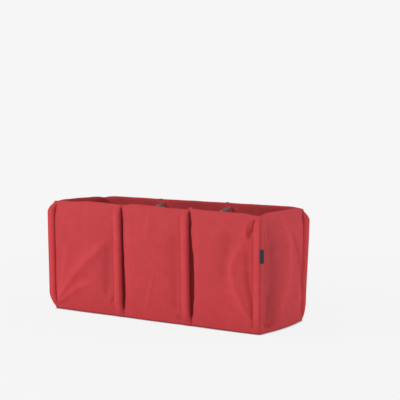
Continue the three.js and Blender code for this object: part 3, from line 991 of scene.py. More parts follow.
@dataclass
class CanvasWall:
    """One wall of canvas from corner seam to corner seam, with its tucks, foot and turned-in hem."""

    name: str
    side: Side
    tucks: tuple[Tuck, ...]
    folds: tuple[tuple[Fold, ...], ...]  # those of each bay
    seed: float  # of its unevenness
    stands_for: tuple[str, ...]  # the solids that it replaces
    rim_line: Pairs = ((0.0, 0.0),)  # places along it, each with how much higher it runs there
    foot: float = 1.0  # how far its foot bulges out between the tucks
    step: float = 4.6  # from column to column and from row to row
    hem_coarser: float = 1.4  # how many times as far apart the hem's rows are
    tube_steps: int = 18  # round a tuck's tube
    foot_steps: int = 6  # round the turn at the foot
    rim_steps: int = 9  # and round the one at the rim
    turns: tuple[float, ...] = (0.0, 14.0, 28.0, 43.0, 58.0, 74.0)  # of the columns in a turn to a tuck
    foot_painted_shade: float = -1.5  # painted shade of the cloth half-way round the turn at its foot
    line_rise: tuple[float, float] = (260.0, 390.0)  # heights between which it takes on the rim's line
    ear_rise: tuple[float, float] = (372.0, 400.0)  # heights between which the peaks over its tucks rise
    ear_width: float = 7.0
    ear_beyond: float = 4.0  # how far to the right of a tuck's pressed edge its peak is
    wave_rise: tuple[float, float] = (300.0, 400.0)  # heights between which the rim's slow wander begins
    wave_height: float = 0.8
    wave_span: float = 60.0  # from one rise of the wander to the next fall
    panels: list[Panel] = field(default_factory=list)
    columns: list[Column] = field(default_factory=list)
    rows: list[Row] = field(default_factory=list)

    def __post_init__(self) -> None:
        """Works out the panels, columns and rows."""
        for index, (left, right) in enumerate(zip(self.tucks, self.tucks[1:])):
            self.panels.append(Panel(left, right, self.folds[index], self.seed + 3 * index, self.foot))
        for index, tuck in enumerate(self.tucks):
            left = self.panels[index - 1] if index else None
            right = self.panels[index] if index < len(self.panels) else None
            self.columns += self.tuck_columns(tuck, left, right)
            if right:
                self.columns += self.panel_columns(right)
        self.rows = list(self.row_list())

    def tuck_columns(self, tuck: Tuck, left: Panel | None, right: Panel | None) -> list[Column]:
        """The columns of a tuck's tube."""
        steps = self.tube_steps
        return [TuckColumn(tuck, step / steps, left, right) for step in range(steps + 1)]

    def panel_columns(self, panel: Panel) -> list[Column]:
        """The columns of a panel, closer together in the turns at its two ends."""
        start, end = panel.ends(SIZES.height / 2)
        count = round((end - start - 2 * SIZES.turn_radius) / self.step)
        middle = [PanelColumn(panel, step / count) for step in range(count + 1)]
        first = [PanelColumn(panel, 0.0, turn, -1) for turn in self.turns]
        last = [PanelColumn(panel, 1.0, turn, 1) for turn in reversed(self.turns)]
        return [*first, *middle, *last]

    def row_list(self) -> Iterator[Row]:
        """The rows, from the lip under the foot up the outer face, over the rim and down the hem."""
        yield Row(Face.LIP, 0.0)
        for step in range(self.foot_steps):
            yield Row(Face.FOOT, 0.0, 90 - 90 / self.foot_steps * step)
        foot, top = SIZES.foot_round, SIZES.height - SIZES.rim_radius
        count = round((top - foot) / self.step)
        for step in range(count + 1):
            yield Row(Face.OUTER, lerp(foot, top, step / count))
        for step in range(1, self.rim_steps):
            yield Row(Face.RIM, top, 180 * step / self.rim_steps)
        count = round((top - SIZES.hem_foot) / self.step / self.hem_coarser)
        for step in range(count + 1):
            yield Row(Face.HEM, lerp(top, SIZES.hem_foot, step / count))

    def point(self, column: int, row: int) -> Vector:
        """A corner of the cloth, in metres."""
        strand, course = self.columns[column], self.rows[row]
        z, angle = course.z, math.radians(course.turn)
        if course.face in (Face.LIP, Face.FOOT):
            x, stand = strand.outer(SIZES.foot_round)
            if course.face is Face.LIP:
                depth, z = SIZES.foot_round + SIZES.lip + max(stand, 0.0), 0.0
            else:
                depth, z = SIZES.foot_round * (1 - math.cos(angle)), SIZES.foot_round * (1 - math.sin(angle))
            away = strand.inward()
            x, stand = x + away[0] * depth, stand + away[1] * depth
        elif course.face is Face.OUTER:
            x, stand = strand.outer(z)
        elif course.face is Face.RIM:
            (x0, s0), (x1, s1) = strand.outer(z), strand.hem(z)
            share = (1 - math.cos(angle)) / 2
            x, stand = lerp(x0, x1, share), lerp(s0, s1, share)
            z += SIZES.rim_radius * math.sin(angle)
        else:
            x, stand = strand.hem(z)
        return self.side.place(x, stand, z + self.raised(x, z) + self.ears(x, z))

    def raised(self, x: float, z: float) -> float:
        """How much higher a point lies because of the rim's line."""
        from_corner = (SIZES.length if len(self.panels) > 1 else SIZES.depth) / 2 - abs(x)
        line = eased(self.rim_line, x) * between(z, *self.line_rise)
        return lift(min(z, SIZES.wall_top), from_corner) + line + self.wave(x, z)

    def axis_of(self, tuck: Tuck) -> Callable[[float], Vector]:
        """Where the middle of a tuck's tube lies at a height, in metres."""

        def axis(z: float) -> Vector:
            """The middle at a height."""
            lean = tuck.leaning(z) if isinstance(tuck, CornerTuck) else 0.0
            x = tuck.centre(z) - math.copysign(lean, tuck.middle)
            return self.side.place(x, tuck.stand - lean, z)

        return axis

    def ears(self, x: float, z: float) -> float:
        """How far the rim peaks over the tucks."""
        tucks = [tuck for tuck in self.tucks if tuck.ear]
        away = [x - tuck.centre(z) - tuck.flat - self.ear_beyond for tuck in tucks]
        peaks = sum(tuck.ear * bell(distance, self.ear_width) for tuck, distance in zip(tucks, away))
        return peaks * between(z, *self.ear_rise)

    def wave(self, x: float, z: float) -> float:
        """How far the rim's line wanders up and down."""
        return self.wave_height * uneven(x / self.wave_span, self.seed, 0.5) * between(z, *self.wave_rise)

    def build(self) -> bpy.types.Object:
        """Makes the wall's canvas."""
        middle = [Vector(strand.outer(SIZES.height / 2)) for strand in self.columns]
        across = [0.0]
        for a, b in zip(middle, middle[1:]):
            across.append(across[-1] + (b - a).length * MM)
        up = [0.0]
        beside = len(self.columns) // 2 + 5  # a column beside the middle one
        for row in range(1, len(self.rows)):
            up.append(up[-1] + (self.point(beside, row) - self.point(beside, row - 1)).length)
        shape = cloth_grid(
            len(self.columns),
            len(self.rows),
            self.point,
            lambda column, row: (across[column], up[row]),
            {"tuck_depth": self.depth, "wear": self.wear},
        )
        piece = finish_mesh(self.name, shape, CANVAS, "coated_canvas")
        thicken(piece, SIZES.canvas)
        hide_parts(*self.stands_for)
        log.info("%s: cut %.3f by %.3f m", self.name, across[-1], up[-1])
        return piece

    def depth(self, column: int, row: int) -> float:
        """How much painted shade a corner gets deep in a tuck."""
        course = self.rows[row]
        return self.columns[column].hollow(course.z) if course.face is Face.OUTER else 0.0

    def wear(self, column: int, row: int) -> float:
        """How much painted light a corner of the cloth gets, or painted shade where it is below 0."""
        course = self.rows[row]
        if course.face in (Face.LIP, Face.FOOT):
            return self.foot_painted_shade * course.turn / 45
        return self.columns[column].wear(course.z) if course.face in (Face.OUTER, Face.RIM) else 0.0


@dataclass
class HemStitches:
    """The thread that holds a wall's hem: lock stitches in a row, on the wall's face and on the hem's."""

    name: str
    wall: CanvasWall
    height: float = 357.0  # at which the row runs
    pitch: float = 4.0  # from stitch to stitch
    length: float = 3.0  # of a stitch
    radius: float = 0.34  # of the thread
    clear: float = 16.0  # how far the row keeps from the tucks

    def rows(self) -> Iterator[list[tuple[Vector, Vector]]]:
        """Both ends of each stitch of each row, in metres."""
        for panel in self.wall.panels:
            start, end = panel.ends(self.height)
            count = int((end - start - 2 * self.clear) / self.pitch)
            starts = [start + self.clear + step * self.pitch for step in range(count)]
            for face in (panel.stand, panel.hem_stand):
                yield [(self.on(face, x), self.on(face, x + self.length)) for x in starts]

    def on(self, face: Callable[[float, float], float], x: float) -> Vector:
        """A point of the row on a face."""
        return self.wall.side.place(x, face(x, self.height), self.height + self.wall.raised(x, self.height))

    def build(self) -> bpy.types.Object:
        """Makes the stitches, each a slim round-ended bead half sunk in the cloth."""
        whole = bmesh.new()
        for row in self.rows():
            part = bmesh.new()
            for first, last in row:
                along = last - first
                size = Vector((along.length / 2, self.radius * MM, self.radius * MM))
                spot = Matrix.LocRotScale((first + last) / 2, along.to_track_quat("X", "Z"), size)
                bmesh.ops.create_uvsphere(part, u_segments=6, v_segments=4, radius=1.0, matrix=spot)
            sewn = as_mesh("row", part)
            whole.from_mesh(sewn)
            bpy.data.meshes.remove(sewn)
        return finish_mesh(self.name, whole, THREAD, "coated_canvas")


# Felt


@dataclass
class FeltLining:
    """One sheet of the felt lining, behind the canvas of a bay."""

    name: str
    wall: CanvasWall
    panel: Panel
    node: str
    foot: float = 3.6  # height of its lower edge, which stands on the base
    head_drop: float = 1.0  # how far its top edge lies below the wall's
    head_low: float = 3.0  # how far it lies above the hem's foot behind the tubes
    head_rise: tuple[float, float] = (14.0, 26.0)  # distances from the tubes between which it climbs
    beside: float = 16.0  # distance from a tube within which it lies back behind the tube
    gap: float = 0.4  # between it and the cloth that it follows
    lap: float = 0.2  # how far an end's lining reaches past the long walls' linings
    grid: tuple[int, int] = (96, 60)
    step: tuple[float, float] = (4.6, 6.6)  # of flat felt from corner to corner

    def depth(self, z: float) -> float:
        """How deep its outer face lies behind the tubes."""
        return lerp(SIZES.lining_depth_flat, SIZES.lining_depth, fullness(z))

    def limit(self, tuck: Tuck, hand: int, z: float) -> float:
        """Where it ends on one hand: at the divider, or at the next wall's lining."""
        if not isinstance(tuck, CornerTuck):
            return math.copysign(SIZES.length / 6, tuck.middle) + hand * SIZES.divider_half
        over = SIZES.felt + self.gap if self.wall.side in (Side.FRONT, Side.BACK) else -self.lap
        return -hand * (tuck.corner - self.depth(z) - over)

    def span(self, z: float) -> tuple[float, float]:
        """Where it starts and ends at a height."""
        return self.limit(self.panel.left, 1, z), self.limit(self.panel.right, -1, z)

    def head(self, x: float) -> float:
        """Height of its top edge, which drops to the hem's foot behind the tubes."""
        start, end = self.panel.ends(SIZES.hem_foot)
        climb = between(min(x - start, end - x), *self.head_rise)
        return lerp(SIZES.hem_foot + self.head_low, SIZES.wall_top - self.head_drop, climb)

    def point(self, column: int, row: int) -> Vector:
        """A corner of the felt, in metres."""
        along, up = column / (self.grid[0] - 1), row / (self.grid[1] - 1)
        z = lerp(self.foot, self.head(lerp(*self.span(SIZES.height / 2), along)), up)
        x = lerp(*self.span(z), along)
        start, end = self.panel.ends(z)
        beside_tube = ease(1 - min(x - start, end - x) / self.beside)
        behind_canvas = self.panel.stand(x, z) - self.panel.foot_stand(x, z) - (SIZES.canvas + self.gap)
        stand = lerp(behind_canvas, -self.depth(z), beside_tube)
        return self.wall.side.place(x, stand, z + self.wall.raised(x, z))

    def build(self) -> bpy.types.Object:
        """Makes the lining, which follows the canvas and closes the tubes behind."""
        shape = cloth_grid(*self.grid, self.point, evenly(*self.step))
        piece = finish_mesh(self.name, shape, FELT, "needle_felt")
        thicken(piece, SIZES.felt)
        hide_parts(self.node)
        start, end = self.span(SIZES.height / 2)
        return piece


@dataclass
class FeltDivider:
    """The felt sheet between two compartments. Its top edge hangs from its two ends."""

    name: str
    x: float
    node: str
    seed: float
    sag: float = 16.0  # how much lower its top edge hangs half-way
    thickness: float = 4.0
    edge: float = 1.2  # radius of its cut edges
    lean: float = 3.2  # how far it leans to either side between its edges
    lean_span: tuple[float, float] = (110.0, 130.0)  # from one lean to the other, along and up
    wave: float = 2.0  # how far its top edge wanders
    wave_span: float = 38.0
    grid: tuple[int, int] = (60, 80)
    step: float = 4.8  # of flat felt from corner to corner

    def build(self) -> bpy.types.Object:
        """Makes the divider."""
        low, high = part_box(self.node)
        half = (high.y - low.y) / 2 / MM

        def place(column: int, row: int) -> Vector:
            """A corner of the felt."""
            share = 2 * column / (self.grid[0] - 1) - 1
            up = row / (self.grid[1] - 1)
            z = lerp(low.z / MM, high.z / MM - self.sag * (1 - share**2), up)
            y = share * half
            slack = (1 - share**4) * math.sin(math.pi * clamp(up * 0.9 + 0.05))
            lean = self.lean * slack * uneven(y / self.lean_span[0], z / self.lean_span[1], self.seed)
            lean += self.wave * (1 - share**2) * up**3 * math.sin(y / self.wave_span + self.seed)
            return Vector((self.x + lean + self.thickness / 2, y, z)) * MM

        shape = cloth_grid(*self.grid, place, evenly(self.step, self.step))
        piece = finish_mesh(self.name, shape, FELT, "needle_felt")
        thicken(piece, self.thickness, self.edge)
        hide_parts(self.node)
        return piece


@dataclass
class FloorSheet:
    """A flat sheet of the planter's floor."""

    name: str
    node: str
    finish: Finish
    slot: str
    corner: float  # radius of its corners in plan
    ripple: float  # height of its ripples
    over: float = 0.0  # how far it reaches past its solid, to meet the walls' feet
    ripples: float = 14.0  # in each metre
    flat_edge: float = 30.0  # distance from its edge over which the ripples come to their full height
    grid: tuple[int, int] = (120, 42)
    step: tuple[float, float] = (7.4, 6.9)  # of flat cloth from corner to corner

    def build(self) -> bpy.types.Object:
        """Makes the sheet with rounded corners in plan and a slight ripple on top."""
        low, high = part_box(self.node)
        half = Vector(((high.x - low.x) / 2 + self.over * MM, (high.y - low.y) / 2 + self.over * MM))
        radius = self.corner * MM

        def place(column: int, row: int) -> Vector:
            """A corner of the sheet."""
            x = half.x * (2 * column / (self.grid[0] - 1) - 1)
            y = half.y * (2 * row / (self.grid[1] - 1) - 1)
            dx, dy = abs(x) - (half.x - radius), abs(y) - (half.y - radius)
            if dx > 0 and dy > 0:
                square, rounded = max(dx, dy), math.hypot(dx, dy)
                x = math.copysign(half.x - radius + dx * square / rounded, x)
                y = math.copysign(half.y - radius + dy * square / rounded, y)
            edge = min(half.x - abs(x), half.y - abs(y)) / MM
            hill = 0.5 + 0.5 * uneven(x * self.ripples, y * self.ripples, 3.0)
            soft = self.ripple * ease(edge / self.flat_edge) * hill
            return Vector((x, y, high.z - (self.ripple - soft) * MM))

        shape = cloth_grid(*self.grid, place, evenly(*self.step))
        piece = finish_mesh(self.name, shape, self.finish, self.slot)
        thicken(piece, (high.z - low.z) / MM - self.ripple)
        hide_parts(self.node)
        return piece


# Label


@dataclass
class SideLabel:
    """The black ribbon label, folded double and caught in the seam of the front right corner."""

    node: str = "side_label"
    width: float = 14.0  # from its end in the seam to its fold
    ribbon: float = 0.6  # thickness
    loop: float = 0.9  # radius of its fold
    caught: float = 1.2  # how far it lies on the other side of the seam
    sunk: float = 0.4  # how far the seam lies below the roll's round face
    bend: float = 1.4  # how far its loose end bends off the roll
    leaf_steps: int = 8  # columns of a leaf, and of the fold
    rows: int = 30
    step: float = 1.2  # of flat ribbon from column to column

    def seam(self) -> Vector:
        """Where the corner's seam runs, on the roll's face."""
        reach = (FRONT_RIGHT.radius - self.sunk) * SLANT
        x = SIZES.length / 2 + FRONT_RIGHT.beside_end + reach
        return Vector((x, -(SIZES.depth / 2 + FRONT_RIGHT.beside_long + reach), 0.0))

    def path(self) -> Iterator[tuple[float, float]]:
        """Along one leaf, round the loop and back along the other: how far out, and how far across."""
        leaf, steps = self.width - self.loop, self.leaf_steps
        for t in range(steps):
            yield leaf * t / steps, -self.loop
        for t in range(steps + 1):
            turn = math.pi * t / steps
            yield leaf + self.loop * math.sin(turn), -self.loop * math.cos(turn)
        for t in range(1, steps + 1):
            yield leaf * (1 - t / steps), self.loop

    def build(self) -> bpy.types.Object:
        """Makes the ribbon, on the roll's outward face."""
        low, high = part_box(self.node)
        height = (high.z - low.z) / MM
        start = self.seam() + Vector((0, 0, low.z / MM)) - Vector((1, 1, 0)) * self.caught * SLANT
        along, out = Vector((SLANT, SLANT, 0.0)), Vector((SLANT, -SLANT, 0.0))
        path = list(self.path())

        def place(column: int, row: int) -> Vector:
            """A corner of the ribbon."""
            run, off = path[column]
            up = row / (self.rows - 1)
            bend = self.bend * (run / self.width) ** 2 * (0.6 + 0.4 * math.sin(2.4 * up + 0.4))
            return (start + along * run + out * (off - bend + self.loop) + Vector((0, 0, height * up))) * MM

        shape = cloth_grid(len(path), self.rows, place, evenly(self.step, height / (self.rows - 1)))
        piece = finish_mesh("label_ribbon", shape, RIBBON, "woven_ribbon")
        thicken(piece, self.ribbon)
        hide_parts(self.node)
        return piece


# Studio


@dataclass(frozen=True)
class Lamp:
    """A square soft lamp."""

    name: str
    place: tuple[float, float, float]
    size: float  # its side in metres
    power: float  # in watts
    aim: tuple[float, float, float] = (0.0, 0.0, 0.2)

    def build(self) -> None:
        """Hangs the lamp."""
        light = bpy.data.lights.new(self.name, "AREA")
        light.size = self.size
        light.energy = self.power
        lamp = add_object(self.name, light)
        lamp.location = self.place
        lamp.rotation_euler = (Vector(self.aim) - Vector(self.place)).to_track_quat("-Z", "Y").to_euler()


LAMPS = (
    Lamp("key", (-3.4, -3.2, 2.7), size=1.4, power=108.0),
    Lamp("front", (2.4, -3.9, 1.8), size=1.2, power=34.0),
    Lamp("fill", (3.6, 2.2, 1.2), size=2.0, power=46.0, aim=(0.45, 0.0, 0.2)),
)


@dataclass(frozen=True)
class Studio:
    """Pale floor and soft lights."""

    backdrop: str = "#f6f6f6"
    ambient: float = 0.45  # strength of the sky's light
    floor_reach: float = 20.0  # metres from the planter to the floor's edge
    shadow_share: float = 0.06  # how much of the floor's look comes from the light that falls on it
    shadow_fade: tuple[float, float] = (0.6, 2.4)  # metres from the planter between which its shadow ends
    contact: float = 0.012  # metres from the floor's contact line over which the painted contact shadow darkens it
    contact_tone: float = 0.3  # how bright the painted contact shadow is, as a share of the floor

    def build(self) -> None:
        """Makes the world, the floor and the lamps."""
        self.world()
        self.floor()
        for lamp in LAMPS:
            lamp.build()
        bpy.context.scene.view_settings.view_transform = "Standard"

    def world(self) -> None:
        """An even grey sky, which the camera sees as the backdrop."""
        world = bpy.data.worlds.new("studio")
        bpy.context.scene.world = world
        add = partial(add_node, empty_tree(world))
        seen = add("ShaderNodeBackground", Color=linear(self.backdrop), Strength=1.0).outputs[0]
        lit = add("ShaderNodeBackground", Color=(1, 1, 1, 1), Strength=self.ambient).outputs[0]
        seen_straight = add("ShaderNodeLightPath").outputs["Is Camera Ray"]
        mix = add("ShaderNodeMixShader", i0=seen_straight, i1=lit, i2=seen)
        add("ShaderNodeOutputWorld", Surface=mix.outputs[0])

    def floor(self) -> None:
        """A wide floor that glows as bright as the backdrop, with a painted shadow in a thin line under the
        planter.
        """
        shape = bmesh.new()
        bmesh.ops.create_grid(shape, x_segments=1, y_segments=1, size=self.floor_reach)
        mesh = as_mesh("studio_floor", shape)
        add_object("studio_floor", mesh)
        paint = bpy.data.materials.new("studio_paper")
        add = partial(add_node, empty_tree(paint))
        paper = add("ShaderNodeBsdfDiffuse", Color=(1, 1, 1, 1)).outputs[0]
        # the painted contact shadow: darker where the planter is near
        near = add("ShaderNodeAmbientOcclusion", {"samples": 8}, Distance=self.contact).outputs["AO"]
        shade = add("ShaderNodeMapRange", Value=near, i1=0.2, i2=0.85, i3=self.contact_tone, i4=1.0)
        glow = add("ShaderNodeEmission", Color=linear(self.backdrop), Strength=shade.outputs[0]).outputs[0]
        seen_straight = add("ShaderNodeLightPath").outputs["Is Camera Ray"]
        spot = add("ShaderNodeNewGeometry").outputs["Position"]
        away = add("ShaderNodeVectorMath", {"operation": "LENGTH"}, i0=spot).outputs["Value"]
        first, last = self.shadow_fade
        glowing = add(
            "ShaderNodeMapRange",
            {"interpolation_type": "SMOOTHSTEP"},
            Value=away,
            i1=first,
            i2=last,
            i3=1 - self.shadow_share,
            i4=1.0,
        ).outputs[0]
        share = add("ShaderNodeMath", {"operation": "MULTIPLY"}, i0=seen_straight, i1=glowing).outputs[0]
        mix = add("ShaderNodeMixShader", i0=share, i1=paper, i2=glow)
        add("ShaderNodeOutputMaterial", Surface=mix.outputs[0])
        mesh.materials.append(paint)


@dataclass(frozen=True)
class Viewpoint:
    """The photograph's camera: how far round to the right and up it stands, in degrees, and how far off."""

    round_right: float = 33.5
    up: float = 4.96
    distance: float = 3.949
    target: tuple[float, float, float] = (0.109, 0.0, 0.4272)  # what it looks at
    focal_pixels: float = 1100.3  # focal length, fitted to the photograph
    image_pixels: float = 400.0
    sensor: float = 36.0  # width in millimetres

    def build(self) -> None:
        """Makes the camera."""
        around, tilt = math.radians(self.round_right), math.radians(self.up)
        back = Vector((math.sin(around) * math.cos(tilt), -math.cos(around) * math.cos(tilt), math.sin(tilt)))
        data = bpy.data.cameras.new("camera")
        data.sensor_width = self.sensor
        data.lens = self.focal_pixels / self.image_pixels * self.sensor
        data.clip_end = 100.0
        camera = add_object("camera", data)
        camera.location = Vector(self.target) + back * self.distance
        camera.rotation_euler = (-back).to_track_quat("-Z", "Y").to_euler()
        bpy.context.scene.camera = camera


# The planter


@dataclass(frozen=True)
class Corner:
    """A corner's tube: its radius, where its axis stands, and its lean."""

    radius: float
    beside_long: float  # how far its axis stands outside the long wall's rim plane
    beside_end: float  # and outside the end's
    lean: float
    foot_corner: float  # radius of its foot in plan
    soft: float = 0.0  # how softly the long wall runs into it
    soft_end: float = 0.0
    # strengths of the painted highlight on the long wall's half of the tube and on the end's, painted shade
    # where below 0
    pale: float = 0.8
    painted_light_end: float = 0.8
    painted_light_at: float = 38.0  # degrees from straight outward, away from the corner, of the painted highlight
    wide: float = 1.0  # how much further it reaches over the long wall on its left
    gaps: Pairs = ()
    turned: tuple[float, float] = (122.0, 62.0)  # how far round its cloth goes, beside a slit and without

    def tuck(self, side: Side, hand: int) -> CornerTuck:
        """The half of the tube that one wall's cloth covers.

        Args:
            side: The wall's side.
            hand: 1 at the wall's right end, -1 at its left end.

        Returns:
            The tuck.
        """
        long = side in (Side.FRONT, Side.BACK)
        corner = (SIZES.length if long else SIZES.depth) / 2
        out, beyond = (self.beside_long, self.beside_end) if long else (self.beside_end, self.beside_long)
        soft = self.soft if long else self.soft_end
        turned = lerp(*self.turned, soft)
        first, last = (-turned, 45.0) if hand > 0 else (-45.0, turned)
        return CornerTuck(
            middle=hand * (corner + beyond),
            radius=self.radius,
            stand=out,
            first=first,
            last=last,
            soft_left=soft,
            soft_right=soft,
            pale=self.pale if long else self.painted_light_end,
            wide_left=self.wide if long and hand > 0 else 1.0,
            painted_light_at=-self.painted_light_at * hand,
            open_right=self.gaps,
            open_left=self.gaps,
            hand=hand,
            corner=corner,
            foot_corner=self.foot_corner,
            lean=self.lean,
        )


FRONT_LEFT = Corner(
    radius=15.0,
    beside_long=5.5,
    beside_end=7.5,
    lean=3.0,
    foot_corner=8.0,
    soft=0.5,
    pale=1.3,
    gaps=((20.0, 0.4), (50.0, 1.0), (350.0, 1.0), (372.0, 4.0), (384.0, 5.0), (394.0, 0.3)),
)
FRONT_RIGHT = Corner(
    radius=16.5,
    beside_long=6.0,
    beside_end=-3.5,
    lean=2.0,
    foot_corner=15.0,
    soft=0.9,
    soft_end=1.0,
    pale=0.5,
    painted_light_end=-0.2,
    painted_light_at=-12.0,
    wide=1.25,
)
BACK_RIGHT = Corner(
    radius=16.5, beside_long=3.3, beside_end=3.3, lean=9.0, foot_corner=6.0, pale=0.5, painted_light_end=0.3
)
BACK_LEFT = Corner(radius=16.5, beside_long=3.5, beside_end=3.5, lean=4.0, foot_corner=13.0)


def divider_tuck(middle: float, drift: float, ear: float, gaps: Pairs) -> Tuck:
    """A divider's tube on a long wall, folded to the right.

    Args:
        middle: Where it stands along the wall.
        drift: How much further right its foot is than its head.
        ear: How far the rim peaks over its right edge.
        gaps: Heights and widths of the slit on its right.

    Returns:
        The tuck.
    """
    return Tuck(
        middle,
        radius=14.5,
        stand=3.5,
        first=-78.0,
        last=125.0,
        drift=drift,
        boxy=2.8,
        wide_left=1.3,
        soft_left=0.95,
        ear=ear,
        open_right=gaps,
    )


@dataclass(frozen=True)
class Rod:
    """A stiffening rod that stands in a tube and leans with it."""

    node: str
    axis: Callable[[float], Vector]
    sides: int = 24
    chamfer: float = 0.8
    lengths: int = 6  # into which its shaft is divided, so that it can lean

    def build(self) -> bpy.types.Object:
        """Makes the rod, with chamfered ends."""
        low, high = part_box(self.node)
        radius = (high.x - low.x) / 2 / MM
        foot, head = low.z / MM, high.z / MM
        rings = [(foot, radius - self.chamfer), (foot + self.chamfer, radius)]
        rings += [(lerp(foot, head, t / self.lengths), radius) for t in range(1, self.lengths)]
        rings += [(head - self.chamfer, radius), (head, radius - self.chamfer)]
        shape = bmesh.new()
        spot = Matrix.Translation(self.axis(foot))
        first = rings[0][1] * MM
        bmesh.ops.create_circle(shape, cap_ends=True, segments=self.sides, radius=first, matrix=spot)
        cap = shape.faces[:]
        for (z0, size0), (z1, size1) in zip(rings, rings[1:]):
            grown = bmesh.ops.extrude_face_region(shape, geom=cap)["geom"]
            if z0 > foot:
                bmesh.ops.delete(shape, geom=cap, context="FACES_ONLY")
            cap = [part for part in grown if isinstance(part, bmesh.types.BMFace)]
            around = [part for part in grown if isinstance(part, bmesh.types.BMVert)]
            wider = Vector((1, 1, 1)) * size1 / size0
            bmesh.ops.scale(shape, verts=around, vec=wider, space=Matrix.Translation(-self.axis(z0)))
            bmesh.ops.translate(shape, verts=around, vec=self.axis(z1) - self.axis(z0))
        bmesh.ops.recalc_face_normals(shape, faces=shape.faces)
        piece = finish_mesh(self.node.replace("_rod", "_fibre_rod"), shape, ROD, "glass_fibre")
        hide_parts(self.node)
        return piece


